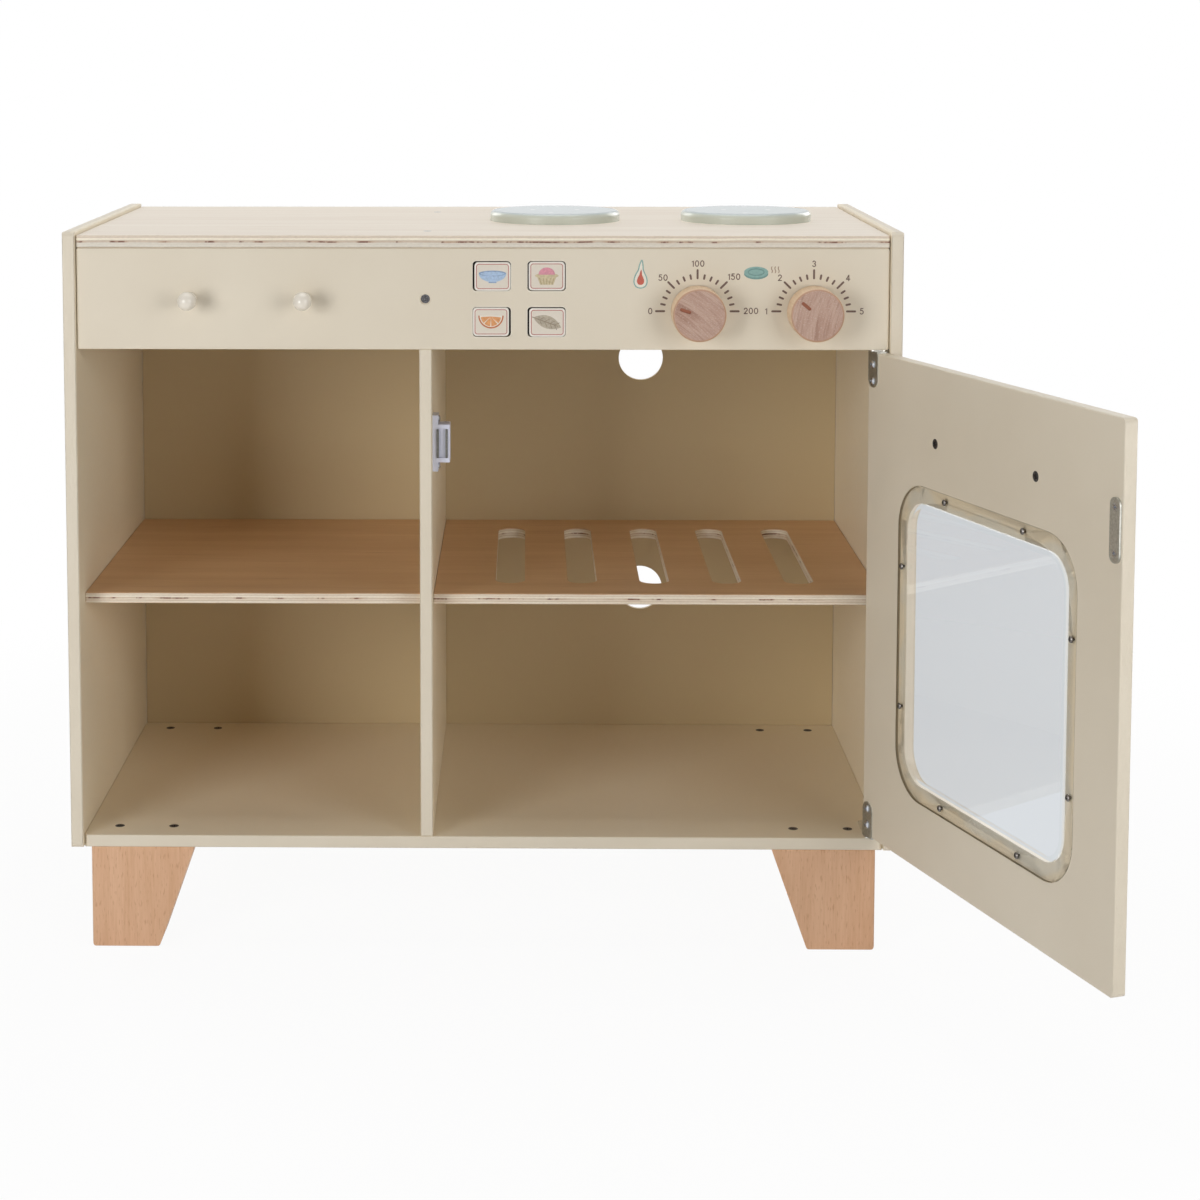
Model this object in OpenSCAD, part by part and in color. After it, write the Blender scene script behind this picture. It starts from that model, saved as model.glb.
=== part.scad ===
// Toy oven: the base unit of a wooden play kitchen, with two hob plates on its
// worktop, a control panel with knobs and press buttons, an open cupboard on
// the left and an oven with a rack and a glazed door on the right.
// Millimetres. The origin is on the floor, in the middle of the front left
// foot's sole. X runs to the right, the front faces -Y. The door is drawn
// standing open.

/* [Carcass] */
// Width over the two side panels
overall_w = 600; // [560:5:700]
// Depth from the front to the back edges of the side panels
overall_d = 300; // [270:5:360]
// Height of the worktop's upper face above the floor
worktop_h = 523.4; // [480:0.2:580]
// Thickness of the painted boards and the worktop
board_t = 9; // [8:0.5:12]
// Height that the side panels stand above the worktop
side_rise = 2.6; // [0:0.2:6]
// Distance of the boards behind the side panels' front edges
front_setback = 3; // [2:0.5:5]
// Distance from the left side's outer face to the divider's middle
divider_pos = 259.5; // [240:0.5:280]
// Thickness of the back panel
back_t = 4; // [3:0.5:6]
// Distance of the back panel before the side panels' back edges
back_inset = 4; // [0:0.5:10]
// Diameter of the cable holes in the back panel
back_hole_d = 37; // [20:1:50]
// Height of the upper cable hole above the floor
upper_hole_h = 397; // [370:1:415]
// Height of the lower cable hole above the floor
lower_hole_h = 202; // [150:1:220]
// Gap beside the control panel and the worktop
side_gap = 0.4; // [0.2:0.1:0.8]
// Radius of the side panels' corners, seen from the side
side_corner_r = 3.5; // [1.5:0.5:8]
// Radius of the eased edges of the boards
edge_r = 1; // [0.4:0.1:1.5]
// Radius of the bottom board's corners, seen from above
bottom_corner_r = 3.5; // [1:0.5:6]

/* [Shelves] */
// Height of the shelves' upper faces above the floor
shelf_h = 259.7; // [230:0.1:300]
// Thickness of the shelf and the oven rack
shelf_t = 8; // [6:0.5:10]
// Distance of the shelves behind the side panels' front edges
shelf_setback = 21.5; // [15:0.5:60]
// Number of slots in the oven rack
rack_slots = 5; // [3:1:6]
// Width of a rack slot
slot_w = 22; // [10:1:26]
// Distance between the middles of neighbouring slots
slot_pitch = 53.8; // [40:0.2:55]
// Length of a rack slot
slot_len = 200; // [80:5:220]
// Distance of the slots' front ends behind the rack's front edge
slot_front = 34; // [20:1:40]

/* [Feet] */
// Height of the feet
foot_h = 75; // [50:1:100]
// Width of a foot where it meets the bottom board
foot_top_w = 75.5; // [65:0.5:90]
// Width of a foot on the floor
foot_sole_w = 49; // [30:0.5:60]
// Size of a foot from front to back
foot_d = 40; // [30:1:60]
// Distance of a foot from the outer face of its side panel
foot_side_inset = 14; // [10:0.5:30]
// Distance of the front feet behind the side panels' front edges
foot_front_inset = 4; // [3:1:30]
// Distance of the rear feet before the back panel
foot_rear_inset = 0; // [0:1:30]
// Distance between a foot's two screws
foot_screw_pitch = 40; // [30:1:45]

/* [Hob] */
// Diameter of a hob plate
plate_d = 100; // [70:1:120]
// Height of a hob plate above the worktop
plate_h = 8; // [5:0.5:14]
// Radius of a hob plate's upper edge
plate_edge_r = 4; // [1:0.5:4.5]
// Distance between the middles of the hob plates
plate_pitch = 147.5; // [130:0.5:170]
// Distance of the hob plates' middles behind the side panels' front edges
plate_y = 152.5; // [110:0.5:180]
// Depth of the dish in a hob plate's face
plate_dish = 0.6; // [0.2:0.1:1]

/* [Control panel] */
// Height of the control panel
panel_h = 73; // [72:0.5:80]
// Diameter of a knob
knob_d = 38; // [30:0.5:44]
// Length of a knob before the panel
knob_len = 25; // [15:0.5:35]
// Height of the knobs' middles above the panel's lower edge
knob_z = 27.5; // [24:0.5:45]
// Distance from the oven knob's middle to the right side's outer face
oven_knob_pos = 146.2; // [130:0.2:170]
// Distance between the middles of the knobs
knob_pitch = 82.9; // [70:0.1:95]
// Angle of the oven knob's mark
oven_mark_angle = 162; // [0:1:360]
// Angle of the hob knob's mark
hob_mark_angle = 140; // [0:1:360]
// Diameter of the knobs' spigots
spigot_d = 12; // [8:0.5:16]
// Diameter of a peg's ball
peg_ball_d = 13.4; // [10:0.2:18]
// Length of a peg before the panel
peg_len = 24; // [18:0.5:35]
// Diameter of a peg's tenon
tenon_d = 7; // [5:0.5:9]

/* [Buttons] */
// Width of a button's opening in the panel
button_hole_w = 27.3; // [24:0.1:30]
// Height of a button's opening in the panel
button_hole_h = 21.4; // [18:0.1:23]
// Play of a button in the width of its opening
button_play_w = 1.6; // [0.6:0.1:2]
// Play of a button in the height of its opening
button_play_h = 1; // [0.6:0.1:1.4]
// Corner radius of a button
button_r = 2.6; // [1:0.1:4]
// Distance between the middles of neighbouring buttons in a row
button_pitch_x = 39.2; // [39:0.1:44]
// Distance between the middles of the upper and lower buttons
button_pitch_z = 33; // [32.5:0.1:35]
// Distance of the buttons' middle to the right of the divider's middle
button_pos = 67.1; // [65:0.1:72]
// Distance that a button can be pressed
button_travel = 2.5; // [1:0.1:3]

/* [Oven door] */
// Gap between the door and the boards beside it
door_gap = 1.9; // [1.8:0.1:2.5]
// Distance of the pivots from the door's hinged edge
pivot_inset = 5.5; // [5.2:0.1:6]
// Angle at which the door stands open
door_open = 109.5; // [0:0.5:110]
// Corner radius of the door
door_corner_r = 4; // [1.5:0.5:10]
// Width of the window opening
window_w = 204; // [120:1:230]
// Height of the window opening
window_h = 199; // [120:1:220]
// Corner radius of the window opening
window_r = 22; // [10:1:50]
// Height of the window's middle above the door's lower edge
window_pos = 158.5; // [150:0.5:170]
// Overlap of the pane on the door around the window
pane_lap = 12; // [8:0.5:14]
// Thickness of the pane
pane_t = 2; // [1.5:0.5:3]
// Distance of the pane's screws from the middle of each side
pane_screw_x = 50; // [20:1:60]
// Distance between the handle's screws
handle_pitch = 128; // [96:1:160]
// Height of the handle above the door's lower edge
handle_pos = 302.4; // [295:0.2:320]
// Length of the handle
handle_len = 168; // [140:1:220]
// Thickness of the hinges' sheet steel
hinge_t = 0.8; // [0.6:0.1:1]
// Width of the hinge leaves
leaf_w = 12; // [10:0.5:12]
// Length of the hinge leaves on the carcass
leaf_len = 38; // [36:1:45]
// Width of the hinge arms on the door
arm_w = 13.5; // [11:0.5:15]
// Length of the hinge legs on the door
leg_len = 26; // [26:1:40]
// Height of the catch's middle above the door's lower edge
catch_pos = 285.8; // [250:0.2:300]

/* [Hidden] */

$fn = 48;

// Radial clearance of screws, pegs and dowels in their holes
fit = 0.05;
// Cuts run this far past a face
past = 1;

// Colours of the finishes
cream_paint = [0.83, 0.79, 0.71];
birch_ply = [0.90, 0.86, 0.80];
beech_veneer = [0.68, 0.54, 0.39];
beech = [0.82, 0.65, 0.51];
blue_grey = [0.83, 0.86, 0.87];
zinc = [0.62, 0.64, 0.66];
dark_steel = [0.20, 0.20, 0.22];
white_plastic = [0.86, 0.86, 0.90];
clear_sheet = [0.85, 0.90, 0.93, 0.35];
tile_white = [0.88, 0.85, 0.79];

// Carcass planes
front_y = -foot_front_inset - foot_d / 2;
rear_y = front_y + overall_d;
board_y = front_y + front_setback;
back_y = rear_y - back_inset - back_t;
left_x = -foot_side_inset - foot_sole_w / 2;
right_x = left_x + overall_w;
inner_left_x = left_x + board_t;
inner_right_x = right_x - board_t;
base_top = foot_h + board_t;
worktop_under = worktop_h - board_t;
panel_under = worktop_under - panel_h;
side_top = worktop_h + side_rise;
divider_x = left_x + divider_pos;
divider_left = divider_x - board_t / 2;
divider_right = divider_x + board_t / 2;
oven_x = (divider_right + inner_right_x) / 2;
panel_back_y = board_y + board_t;
panel_mid_z = panel_under + panel_h / 2;
shelf_y = front_y + shelf_setback;

// Screw sizes: head diameter, shank diameter, length
side_screw = [6.5, 3, 30];
top_screw = [6, 3, 28];
foot_screw = [7, 3.5, 35];
back_screw = [5.5, 2.5, 14];
panel_screw = [6.5, 3, 24];
handle_screw = [7, 3, 20];
small_screw = [5, 2.2, 7];
hinge_screw = [6, 2.4, 7.5];
plate_screw = [7, 3, 14];
box_screw = [5.5, 2.4, 9];
knob_screw = [8, 3.5, 22];
pane_screw = [4.4, 1.8, 7.5];
counterbore_d = 8;
counterbore_deep = 1.2;
pan_head_h = 1.6;
cross_w = 0.8;

// Screw places on the boards
side_screw_inset = 48;
top_screw_front = 44;
top_screw_rear = 63;
top_screw_ys = [front_y + top_screw_front, rear_y - top_screw_rear];
back_screw_inset = 30;
dowel_d = 5;
dowel_len = 27;

// Radius of the feet's lower corners
foot_corner_r = 3;

// Hinge block behind the control panel
block_w = 24;
block_h = 20;
block_d = leaf_len - board_t + 3;

// Hob plate screws
plate_screw_pitch = 50;

// Knobs
knob_gap = 0.4;
knob_rim_r = 2.2;
knob_x = [right_x - oven_knob_pos, right_x - oven_knob_pos + knob_pitch];
knob_mid_z = panel_under + knob_z;
mark_inner = 6.4;
mark_len = 8.2;
mark_w = 2.4;
mark_deep = 1;
washer_d = 20;
washer_t = 1;
washer_gap = 0.3;

// Pegs
peg_z = panel_mid_z;
peg_xs = [for (i = [1, 2]) inner_left_x + (divider_left - inner_left_x) * i / 3];
peg_neck_d = 6.6;
peg_foot_d = 9.5;

// Buttons: how each lies in its opening, as [right, up]
button_shift = [[0.55, -0.3], [0.1, 0], [-0.55, 0.1], [0.5, -0.3]];
button_w = button_hole_w - button_play_w;
button_h = button_hole_h - button_play_h;
flange_over = 2;
flange_t = 2.5;
flange_w = button_w + 2 * flange_over;
flange_h = button_h + 2 * flange_over;
cell_w = flange_w + button_play_w + 0.1;
cell_h = flange_h + button_play_h + 0.3;
boss_d = 10;
boss_len = 6;
cup_d = 7.6;
cup_wall = 1.5;
cell_deep = flange_t + boss_len + button_travel + 0.5;
box_wall = 2.2;
box_back_t = 2;
box_w = button_pitch_x + cell_w + 2 * box_wall;
box_h = button_pitch_z + cell_h + 2 * box_wall;
box_d = cell_deep + box_back_t;
ear_w = 10;
ear_t = 3;
ear_h = 16;
spring_d = 6;
wire_d = 0.7;
spring_turns = 4.5;
spring_ring_steps = 12;
wire_sides = 6;
button_x = divider_x + button_pos;
button_z = panel_mid_z;

// Door, in its closed place
hinge_edge_x = inner_right_x - door_gap;
door_w = hinge_edge_x - divider_right - door_gap;
leaf_gap = 0.05;
door_under = base_top + 2 * hinge_t + leaf_gap;
door_top = panel_under - 2 * hinge_t - leaf_gap;
door_h = door_top - door_under;
door_inner_y = board_y + board_t;
door_mid_x = hinge_edge_x - door_w / 2;
pivot_x = hinge_edge_x - pivot_inset;
pivot_y = board_y + board_t / 2;
window_z = door_under + window_pos;
pane_w = window_w + 2 * pane_lap;
pane_h = window_h + 2 * pane_lap;
pane_gap = 0.3;
pane_r = window_r + pane_lap;
pane_screw_edge = 5.5;
rivet_d = 4;
rivet_head_d = 6.4;
rivet_head_h = 0.9;
rivet_room = 0.3;
leaf_corner_r = 3;
hinge_screw_pitch = 12;
first_hinge_screw = 8.5;
arm_inset = 1;
strike_w = 10.5;
strike_len = 40;
strike_t = 1.5;
strike_edge = 1.6;
strike_pitch = 28;
strike_x = divider_right + door_gap + strike_edge + strike_w / 2;
catch_z = door_under + catch_pos;
handle_z = door_under + handle_pos;
handle_h = 15;
handle_t = 11;
handle_post = 17;
handle_r = 4.5;

// Magnetic catch on the divider
catch_flange_len = 41;
catch_flange_t = 4;
catch_body_len = 28;
catch_body_w = 12.6;
catch_d = 15;
catch_pitch = 34.4;
pole_t = 1.6;
pole_len = 21;
pole_spacing = 6.4;
pole_proud = 1;
catch_gap = 0.2;
pole_front_y = door_inner_y + strike_t + catch_gap;
catch_front_y = pole_front_y + pole_proud;
pole_mid_x = divider_right + catch_body_w / 2 + 0.6;

// Outline with round corners, centred
module rounded_rect(w, h, r) {
    square([w - 2 * r, h], center = true);
    square([w, h - 2 * r], center = true);
    for (sx = [-1, 1], sy = [-1, 1])
        translate([sx * (w / 2 - r), sy * (h / 2 - r)]) circle(r = r);
}

// Block from one corner to the other. The edges that run along X, Y and Z
// have the three radii, so that the board keeps true flat faces.
module eased_block(low, high, radii) {
    size = high - low;
    translate((low + high) / 2) intersection() {
        rotate([90, 0, 90]) linear_extrude(size.x, center = true) rounded_rect(size.y, size.z, radii.x);
        rotate([90, 0, 0]) linear_extrude(size.y, center = true) rounded_rect(size.x, size.z, radii.y);
        linear_extrude(size.z, center = true) rounded_rect(size.x, size.y, radii.z);
    }
}

// Board with all its edges eased alike
module eased_board(low, high) {
    eased_block(low, high, [edge_r, edge_r, edge_r]);
}

// Driver recess, cut from the top of a screw head at z = 0
module cross_recess(head_d, deep) {
    for (turn = [0, 90]) rotate(turn)
        cube([head_d * 0.58, cross_w, 2 * deep], center = true);
}

// Countersunk screw, its head's face at z = 0 and its shank along -Z
module countersunk_screw(spec) {
    head_h = (spec[0] - spec[1]) / 2;
    difference() {
        union() {
            translate([0, 0, -head_h]) cylinder(h = head_h, d1 = spec[1], d2 = spec[0]);
            translate([0, 0, -spec[2]]) cylinder(h = spec[2] - head_h, d = spec[1]);
        }
        cross_recess(spec[0], head_h * 0.7);
    }
}

module countersunk_hole(spec) {
    head_h = (spec[0] - spec[1]) / 2;
    translate([0, 0, -head_h]) cylinder(h = head_h, d1 = spec[1] + 2 * fit, d2 = spec[0] + 2 * fit);
    cylinder(h = past, d = spec[0] + 2 * fit);
    translate([0, 0, -spec[2] - fit]) cylinder(h = spec[2] + fit, d = spec[1] + 2 * fit);
}

// Pan-head screw, the underside of its head at z = 0 and its shank along -Z
module pan_screw(spec) {
    rim = pan_head_h * 0.35;
    rise = pan_head_h - rim;
    cap_r = (pow(spec[0] / 2, 2) + rise * rise) / (2 * rise);
    difference() {
        union() {
            intersection() {
                cylinder(h = pan_head_h, d = spec[0]);
                translate([0, 0, pan_head_h - cap_r]) sphere(r = cap_r);
            }
            translate([0, 0, -spec[2]]) cylinder(h = spec[2] + rim / 2, d = spec[1]);
        }
        translate([0, 0, pan_head_h]) cross_recess(spec[0], pan_head_h * 0.6);
    }
}

module pan_hole(spec) {
    translate([0, 0, -spec[2] - fit]) cylinder(h = spec[2] + fit + past, d = spec[1] + 2 * fit);
}

// Outer face of the left (-1) or right (1) side panel
function outer_x(side) = side < 0 ? left_x : right_x;

// Screws through a side panel into the edge of a board at height z
module at_side_screws(side, z, y_low, y_high) {
    for (y = [y_low + side_screw_inset, y_high - side_screw_inset])
        translate([outer_x(side), y, z]) rotate([0, side * 90, 0]) children();
}

// Screw through a side panel into the end of the control panel
module at_panel_end_screw(side) {
    translate([outer_x(side), pivot_y, panel_mid_z]) rotate([0, side * 90, 0]) children();
}

module at_all_side_screws(side) {
    at_side_screws(side, foot_h + board_t / 2, board_y, back_y) children();
    at_side_screws(side, worktop_h - board_t / 2, board_y, rear_y) children();
    at_side_screws(side, shelf_h - shelf_t / 2, shelf_y, back_y) children();
    at_panel_end_screw(side) children();
}

module at_worktop_screws() {
    for (y = top_screw_ys) translate([divider_x, y, worktop_h]) children();
}

module at_plate_screws() {
    for (x = [-1, 1], dx = [-1, 1])
        translate([oven_x + x * plate_pitch / 2 + dx * plate_screw_pitch / 2, front_y + plate_y, worktop_under])
            rotate([180, 0, 0]) children();
}

module at_back_screws() {
    rotate_in = [-90, 0, 0];
    for (x = [inner_left_x + back_screw_inset, divider_left - back_screw_inset,
              divider_right + back_screw_inset, inner_right_x - back_screw_inset]) {
        translate([x, back_y + back_t, foot_h + board_t / 2]) rotate(rotate_in) children();
        translate([x, back_y + back_t, shelf_h - shelf_t / 2]) rotate(rotate_in) children();
    }
    for (z = [base_top + back_screw_inset, worktop_under - back_screw_inset])
        translate([divider_x, back_y + back_t, z]) rotate(rotate_in) children();
}

module at_dowels() {
    for (y = [shelf_y + side_screw_inset, back_y - side_screw_inset])
        translate([divider_x, y, shelf_h - shelf_t / 2]) rotate([0, 90, 0]) children();
}

// Middle of a foot: side is -1 or 1, end is -1 at the front and 1 at the rear
function foot_mid_y(end) = end < 0 ? front_y + foot_front_inset + foot_d / 2
                                   : back_y + back_t - foot_rear_inset - foot_d / 2;
function foot_outer_x(side) = outer_x(side) - side * foot_side_inset;

module at_foot_screws(side, end) {
    mid_x = foot_outer_x(side) - side * foot_top_w / 2;
    for (dx = [-1, 1])
        translate([mid_x + dx * foot_screw_pitch / 2, foot_mid_y(end), base_top]) children();
}

module side_panel(side) {
    low_x = side < 0 ? left_x : inner_right_x;
    color(cream_paint) difference() {
        eased_block([low_x, front_y, foot_h], [low_x + board_t, rear_y, side_top],
            [side_corner_r, edge_r, edge_r]);
        at_all_side_screws(side) countersunk_hole(side_screw);
        if (side > 0) at_block_screws() countersunk_hole(panel_screw);
    }
}

module bottom_board() {
    color(cream_paint) difference() {
        eased_block([inner_left_x, board_y, foot_h], [inner_right_x, back_y, base_top],
            [edge_r, edge_r, bottom_corner_r]);
        for (side = [-1, 1]) {
            at_side_screws(side, foot_h + board_t / 2, board_y, back_y) countersunk_hole(side_screw);
            for (end = [-1, 1]) at_foot_screws(side, end) countersunk_hole(foot_screw);
        }
        at_back_screws() countersunk_hole(back_screw);
        lower_leaf_place() leaf_cuts();
    }
}

module worktop() {
    color(birch_ply) difference() {
        eased_board([inner_left_x + side_gap, board_y, worktop_under],
            [inner_right_x - side_gap, rear_y, worktop_h]);
        at_worktop_screws() countersunk_hole(top_screw);
        at_plate_screws() pan_hole(plate_screw);
        for (side = [-1, 1])
            at_side_screws(side, worktop_h - board_t / 2, board_y, rear_y) countersunk_hole(side_screw);
    }
}

module back_panel() {
    color(cream_paint) difference() {
        translate([inner_left_x + side_gap, back_y, foot_h])
            cube([inner_right_x - inner_left_x - 2 * side_gap, back_t, worktop_under - foot_h]);
        for (z = [upper_hole_h, lower_hole_h])
            translate([oven_x, back_y - past, z]) rotate([-90, 0, 0])
                cylinder(h = back_t + 2 * past, d = back_hole_d);
        at_back_screws() countersunk_hole(back_screw);
    }
}

// The divider stands on the bottom board and its upper front corner is cut
// back for the control panel
module divider() {
    color(cream_paint) difference() {
        eased_board([divider_left, board_y, base_top], [divider_right, back_y, worktop_under]);
        translate([divider_left - past, board_y - past, panel_under])
            cube([board_t + 2 * past, board_t + past, panel_h + past]);
        at_worktop_screws() countersunk_hole(top_screw);
        at_panel_face_screw() countersunk_hole(panel_screw);
        at_back_screws() countersunk_hole(back_screw);
        at_dowels() cylinder(h = dowel_len, d = dowel_d + 2 * fit, center = true);
        at_catch_screws() pan_hole(small_screw);
    }
}

// The screw lies at the bottom of a counterbore
module at_panel_face_screw() {
    translate([divider_x, board_y + counterbore_deep, panel_mid_z]) rotate([90, 0, 0]) children();
}

module at_pegs(i) {
    translate([peg_xs[i], board_y, peg_z]) rotate([90, 0, 0]) children();
}

module at_knob(i) {
    translate([knob_x[i], board_y, knob_mid_z]) rotate([90, 0, 0]) children();
}

// Buttons count from the upper left to the lower right
function button_place(i) = [button_x + (i % 2 - 0.5) * button_pitch_x, button_z + (0.5 - floor(i / 2)) * button_pitch_z];

module at_button_hole(i) {
    translate([button_place(i).x, board_y, button_place(i).y]) rotate([90, 0, 0]) children();
}

module at_button(i) {
    at_button_hole(i) translate(button_shift[i]) children();
}

module control_panel() {
    color(cream_paint) difference() {
        eased_block([inner_left_x + side_gap, board_y, panel_under],
            [inner_right_x - side_gap, panel_back_y, worktop_under], [edge_r, 2 * edge_r, edge_r]);
        for (i = [0, 1]) {
            at_pegs(i) translate([0, 0, -board_t - past]) cylinder(h = board_t + 2 * past, d = tenon_d + 2 * fit);
            at_knob(i) translate([0, 0, -board_t - past]) cylinder(h = board_t + 2 * past, d = spigot_d + 2 * fit);
        }
        for (i = [0 : 3])
            at_button_hole(i) translate([0, 0, -board_t - past])
                linear_extrude(board_t + 2 * past) rounded_rect(button_hole_w, button_hole_h, button_r);
        at_panel_face_screw() {
            countersunk_hole(panel_screw);
            cylinder(h = counterbore_deep + past, d = counterbore_d);
        }
        for (side = [-1, 1]) at_panel_end_screw(side) countersunk_hole(side_screw);
        at_box_screws() pan_hole(box_screw);
        upper_leaf_place() leaf_cuts();
    }
}

module shelf() {
    color(beech_veneer) difference() {
        eased_board([inner_left_x, shelf_y, shelf_h - shelf_t], [divider_left, back_y, shelf_h]);
        at_side_screws(-1, shelf_h - shelf_t / 2, shelf_y, back_y) countersunk_hole(side_screw);
        at_dowels() cylinder(h = dowel_len + 2 * fit, d = dowel_d + 2 * fit, center = true);
        at_back_screws() countersunk_hole(back_screw);
    }
}

module oven_rack() {
    slot_mid_y = shelf_y + slot_front + slot_len / 2;
    color(beech_veneer) difference() {
        eased_board([divider_right, shelf_y, shelf_h - shelf_t], [inner_right_x, back_y, shelf_h]);
        for (i = [0 : rack_slots - 1])
            translate([oven_x + (i - (rack_slots - 1) / 2) * slot_pitch, slot_mid_y, shelf_h - shelf_t - past])
                linear_extrude(shelf_t + 2 * past) rounded_rect(slot_w, slot_len, slot_w / 2 - 0.5);
        at_side_screws(1, shelf_h - shelf_t / 2, shelf_y, back_y) countersunk_hole(side_screw);
        at_dowels() cylinder(h = dowel_len + 2 * fit, d = dowel_d + 2 * fit, center = true);
        at_back_screws() countersunk_hole(back_screw);
    }
}

// Arc of points that rounds the corner p between the points before and after
function round_corner(before, p, after, r) =
    let (u = (before - p) / norm(before - p), v = (after - p) / norm(after - p),
        half = acos(u * v) / 2, mid = p + (u + v) / norm(u + v) * r / sin(half),
        first = p + u * r / tan(half) - mid, last = p + v * r / tan(half) - mid,
        start = atan2(first.y, first.x), raw = atan2(last.y, last.x) - start,
        sweep = raw > 180 ? raw - 360 : raw < -180 ? raw + 360 : raw)
    [for (k = [0 : 6]) mid + r * [cos(start + sweep * k / 6), sin(start + sweep * k / 6)]];

// A foot has an upright outer side and a slanting inner one
module foot(side, end) {
    outer = foot_outer_x(side);
    y = foot_mid_y(end);
    low_outer = [outer, 0];
    low_inner = [outer - side * foot_sole_w, 0];
    high_inner = [outer - side * foot_top_w, foot_h];
    high_outer = [outer, foot_h];
    color(beech) difference() {
        intersection() {
            translate([0, y, 0]) rotate([90, 0, 0]) linear_extrude(foot_d, center = true)
                polygon(concat([high_outer], round_corner(high_outer, low_outer, low_inner, foot_corner_r),
                    round_corner(low_outer, low_inner, high_inner, foot_corner_r), [high_inner]));
            eased_block([min(outer, high_inner.x), y - foot_d / 2, 0],
                [max(outer, high_inner.x), y + foot_d / 2, foot_h], [edge_r, edge_r, 2 * edge_r]);
        }
        at_foot_screws(side, end) countersunk_hole(foot_screw);
    }
}

module hinge_block() {
    color(beech) difference() {
        translate([inner_right_x - block_w, panel_back_y, panel_under]) cube([block_w, block_d, block_h]);
        upper_leaf_place() leaf_cuts();
        at_block_screws() countersunk_hole(panel_screw);
    }
}

// Screws through the right side panel into the hinge block
module at_block_screws() {
    for (dy = [0.25, 0.75])
        translate([right_x, panel_back_y + block_d * dy, panel_under + block_h * 0.65])
            rotate([0, 90, 0]) children();
}

// Turned peg with a ball end and a tenon that is glued into the panel
module peg(i) {
    ball_z = peg_len - peg_ball_d / 2;
    color(cream_paint) at_pegs(i) {
        translate([0, 0, -board_t]) cylinder(h = board_t, d = tenon_d);
        cylinder(h = 1.2, d = peg_foot_d);
        translate([0, 0, 1.2]) cylinder(h = 3, d1 = peg_foot_d, d2 = peg_neck_d);
        cylinder(h = ball_z, d = peg_neck_d);
        translate([0, 0, ball_z]) sphere(d = peg_ball_d);
    }
}

// Hob plate: a turned disc with a rounded rim and a shallow dish
module hob_plate(side) {
    r = plate_d / 2;
    dish_r = r * 0.8;
    bowl_r = (dish_r * dish_r + plate_dish * plate_dish) / (2 * plate_dish);
    color(blue_grey) difference() {
        translate([oven_x + side * plate_pitch / 2, front_y + plate_y, worktop_h]) difference() {
            union() {
                cylinder(h = plate_h - plate_edge_r, r = r, $fn = 96);
                cylinder(h = plate_h, r = r - plate_edge_r, $fn = 96);
                translate([0, 0, plate_h - plate_edge_r]) rotate_extrude($fn = 96)
                    translate([r - plate_edge_r, 0]) circle(r = plate_edge_r);
            }
            translate([0, 0, plate_h - plate_dish + bowl_r]) sphere(r = bowl_r, $fn = 96);
        }
        at_plate_screws() pan_hole(plate_screw);
    }
}

// Knob with a spigot that turns in the panel and a sunk mark on its face
module knob(i, angle) {
    color(beech) at_knob(i) difference() {
        union() {
            translate([0, 0, knob_gap]) cylinder(h = knob_len - knob_gap - knob_rim_r, d = knob_d, $fn = 96);
            translate([0, 0, knob_gap]) cylinder(h = knob_len - knob_gap, d = knob_d - 2 * knob_rim_r, $fn = 96);
            translate([0, 0, knob_len - knob_rim_r]) rotate_extrude($fn = 96)
                translate([knob_d / 2 - knob_rim_r, 0]) circle(r = knob_rim_r);
            translate([0, 0, -board_t - washer_gap]) cylinder(h = board_t + washer_gap + past, d = spigot_d);
        }
        rotate(angle) translate([mark_inner + mark_len / 2, 0, knob_len - mark_deep])
            linear_extrude(mark_deep + past) rounded_rect(mark_len, mark_w, mark_w / 2 - 0.05);
        translate([0, 0, -board_t - washer_gap]) rotate([180, 0, 0]) pan_hole(knob_screw);
    }
}

module knob_washer(i) {
    color(zinc) at_knob(i) translate([0, 0, -board_t - washer_gap - washer_t]) difference() {
        cylinder(h = washer_t, d = washer_d);
        translate([0, 0, -past]) cylinder(h = washer_t + 2 * past, d = knob_screw[1] + 2 * fit);
    }
}

module knob_fixing(i) {
    color(zinc) at_knob(i) translate([0, 0, -board_t - washer_gap - washer_t]) rotate([180, 0, 0])
        pan_screw(knob_screw);
}

// Housing behind the panel with a cell for each button
module button_box() {
    color(white_plastic) difference() {
        union() {
            translate([button_x - box_w / 2, panel_back_y, button_z - box_h / 2]) cube([box_w, box_d, box_h]);
            translate([button_x - box_w / 2 - ear_w, panel_back_y, button_z - ear_h / 2])
                cube([box_w + 2 * ear_w, ear_t, ear_h]);
        }
        for (i = [0 : 3])
            at_button_hole(i) translate([0, 0, -board_t - cell_deep])
                linear_extrude(cell_deep + past) square([cell_w, cell_h], center = true);
        at_box_screws() pan_hole(box_screw);
    }
}

module at_box_screws() {
    for (sx = [-1, 1])
        translate([button_x + sx * (box_w + ear_w) / 2, panel_back_y + ear_t, button_z])
            rotate([-90, 0, 0]) children();
}

// Button: a tile in the panel's opening, a flange that keeps it from falling
// out, and a cup for its spring
module button(i) {
    color(tile_white) at_button(i) difference() {
        union() {
            translate([0, 0, -board_t]) linear_extrude(board_t) rounded_rect(button_w, button_h, button_r);
            translate([0, 0, -board_t - flange_t]) linear_extrude(flange_t)
                square([flange_w, flange_h], center = true);
            translate([0, 0, -board_t - flange_t - boss_len]) cylinder(h = boss_len + past, d = boss_d);
        }
        translate([0, 0, -board_t - flange_t - boss_len - past])
            cylinder(h = boss_len + past - cup_wall, d = cup_d);
    }
}

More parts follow.
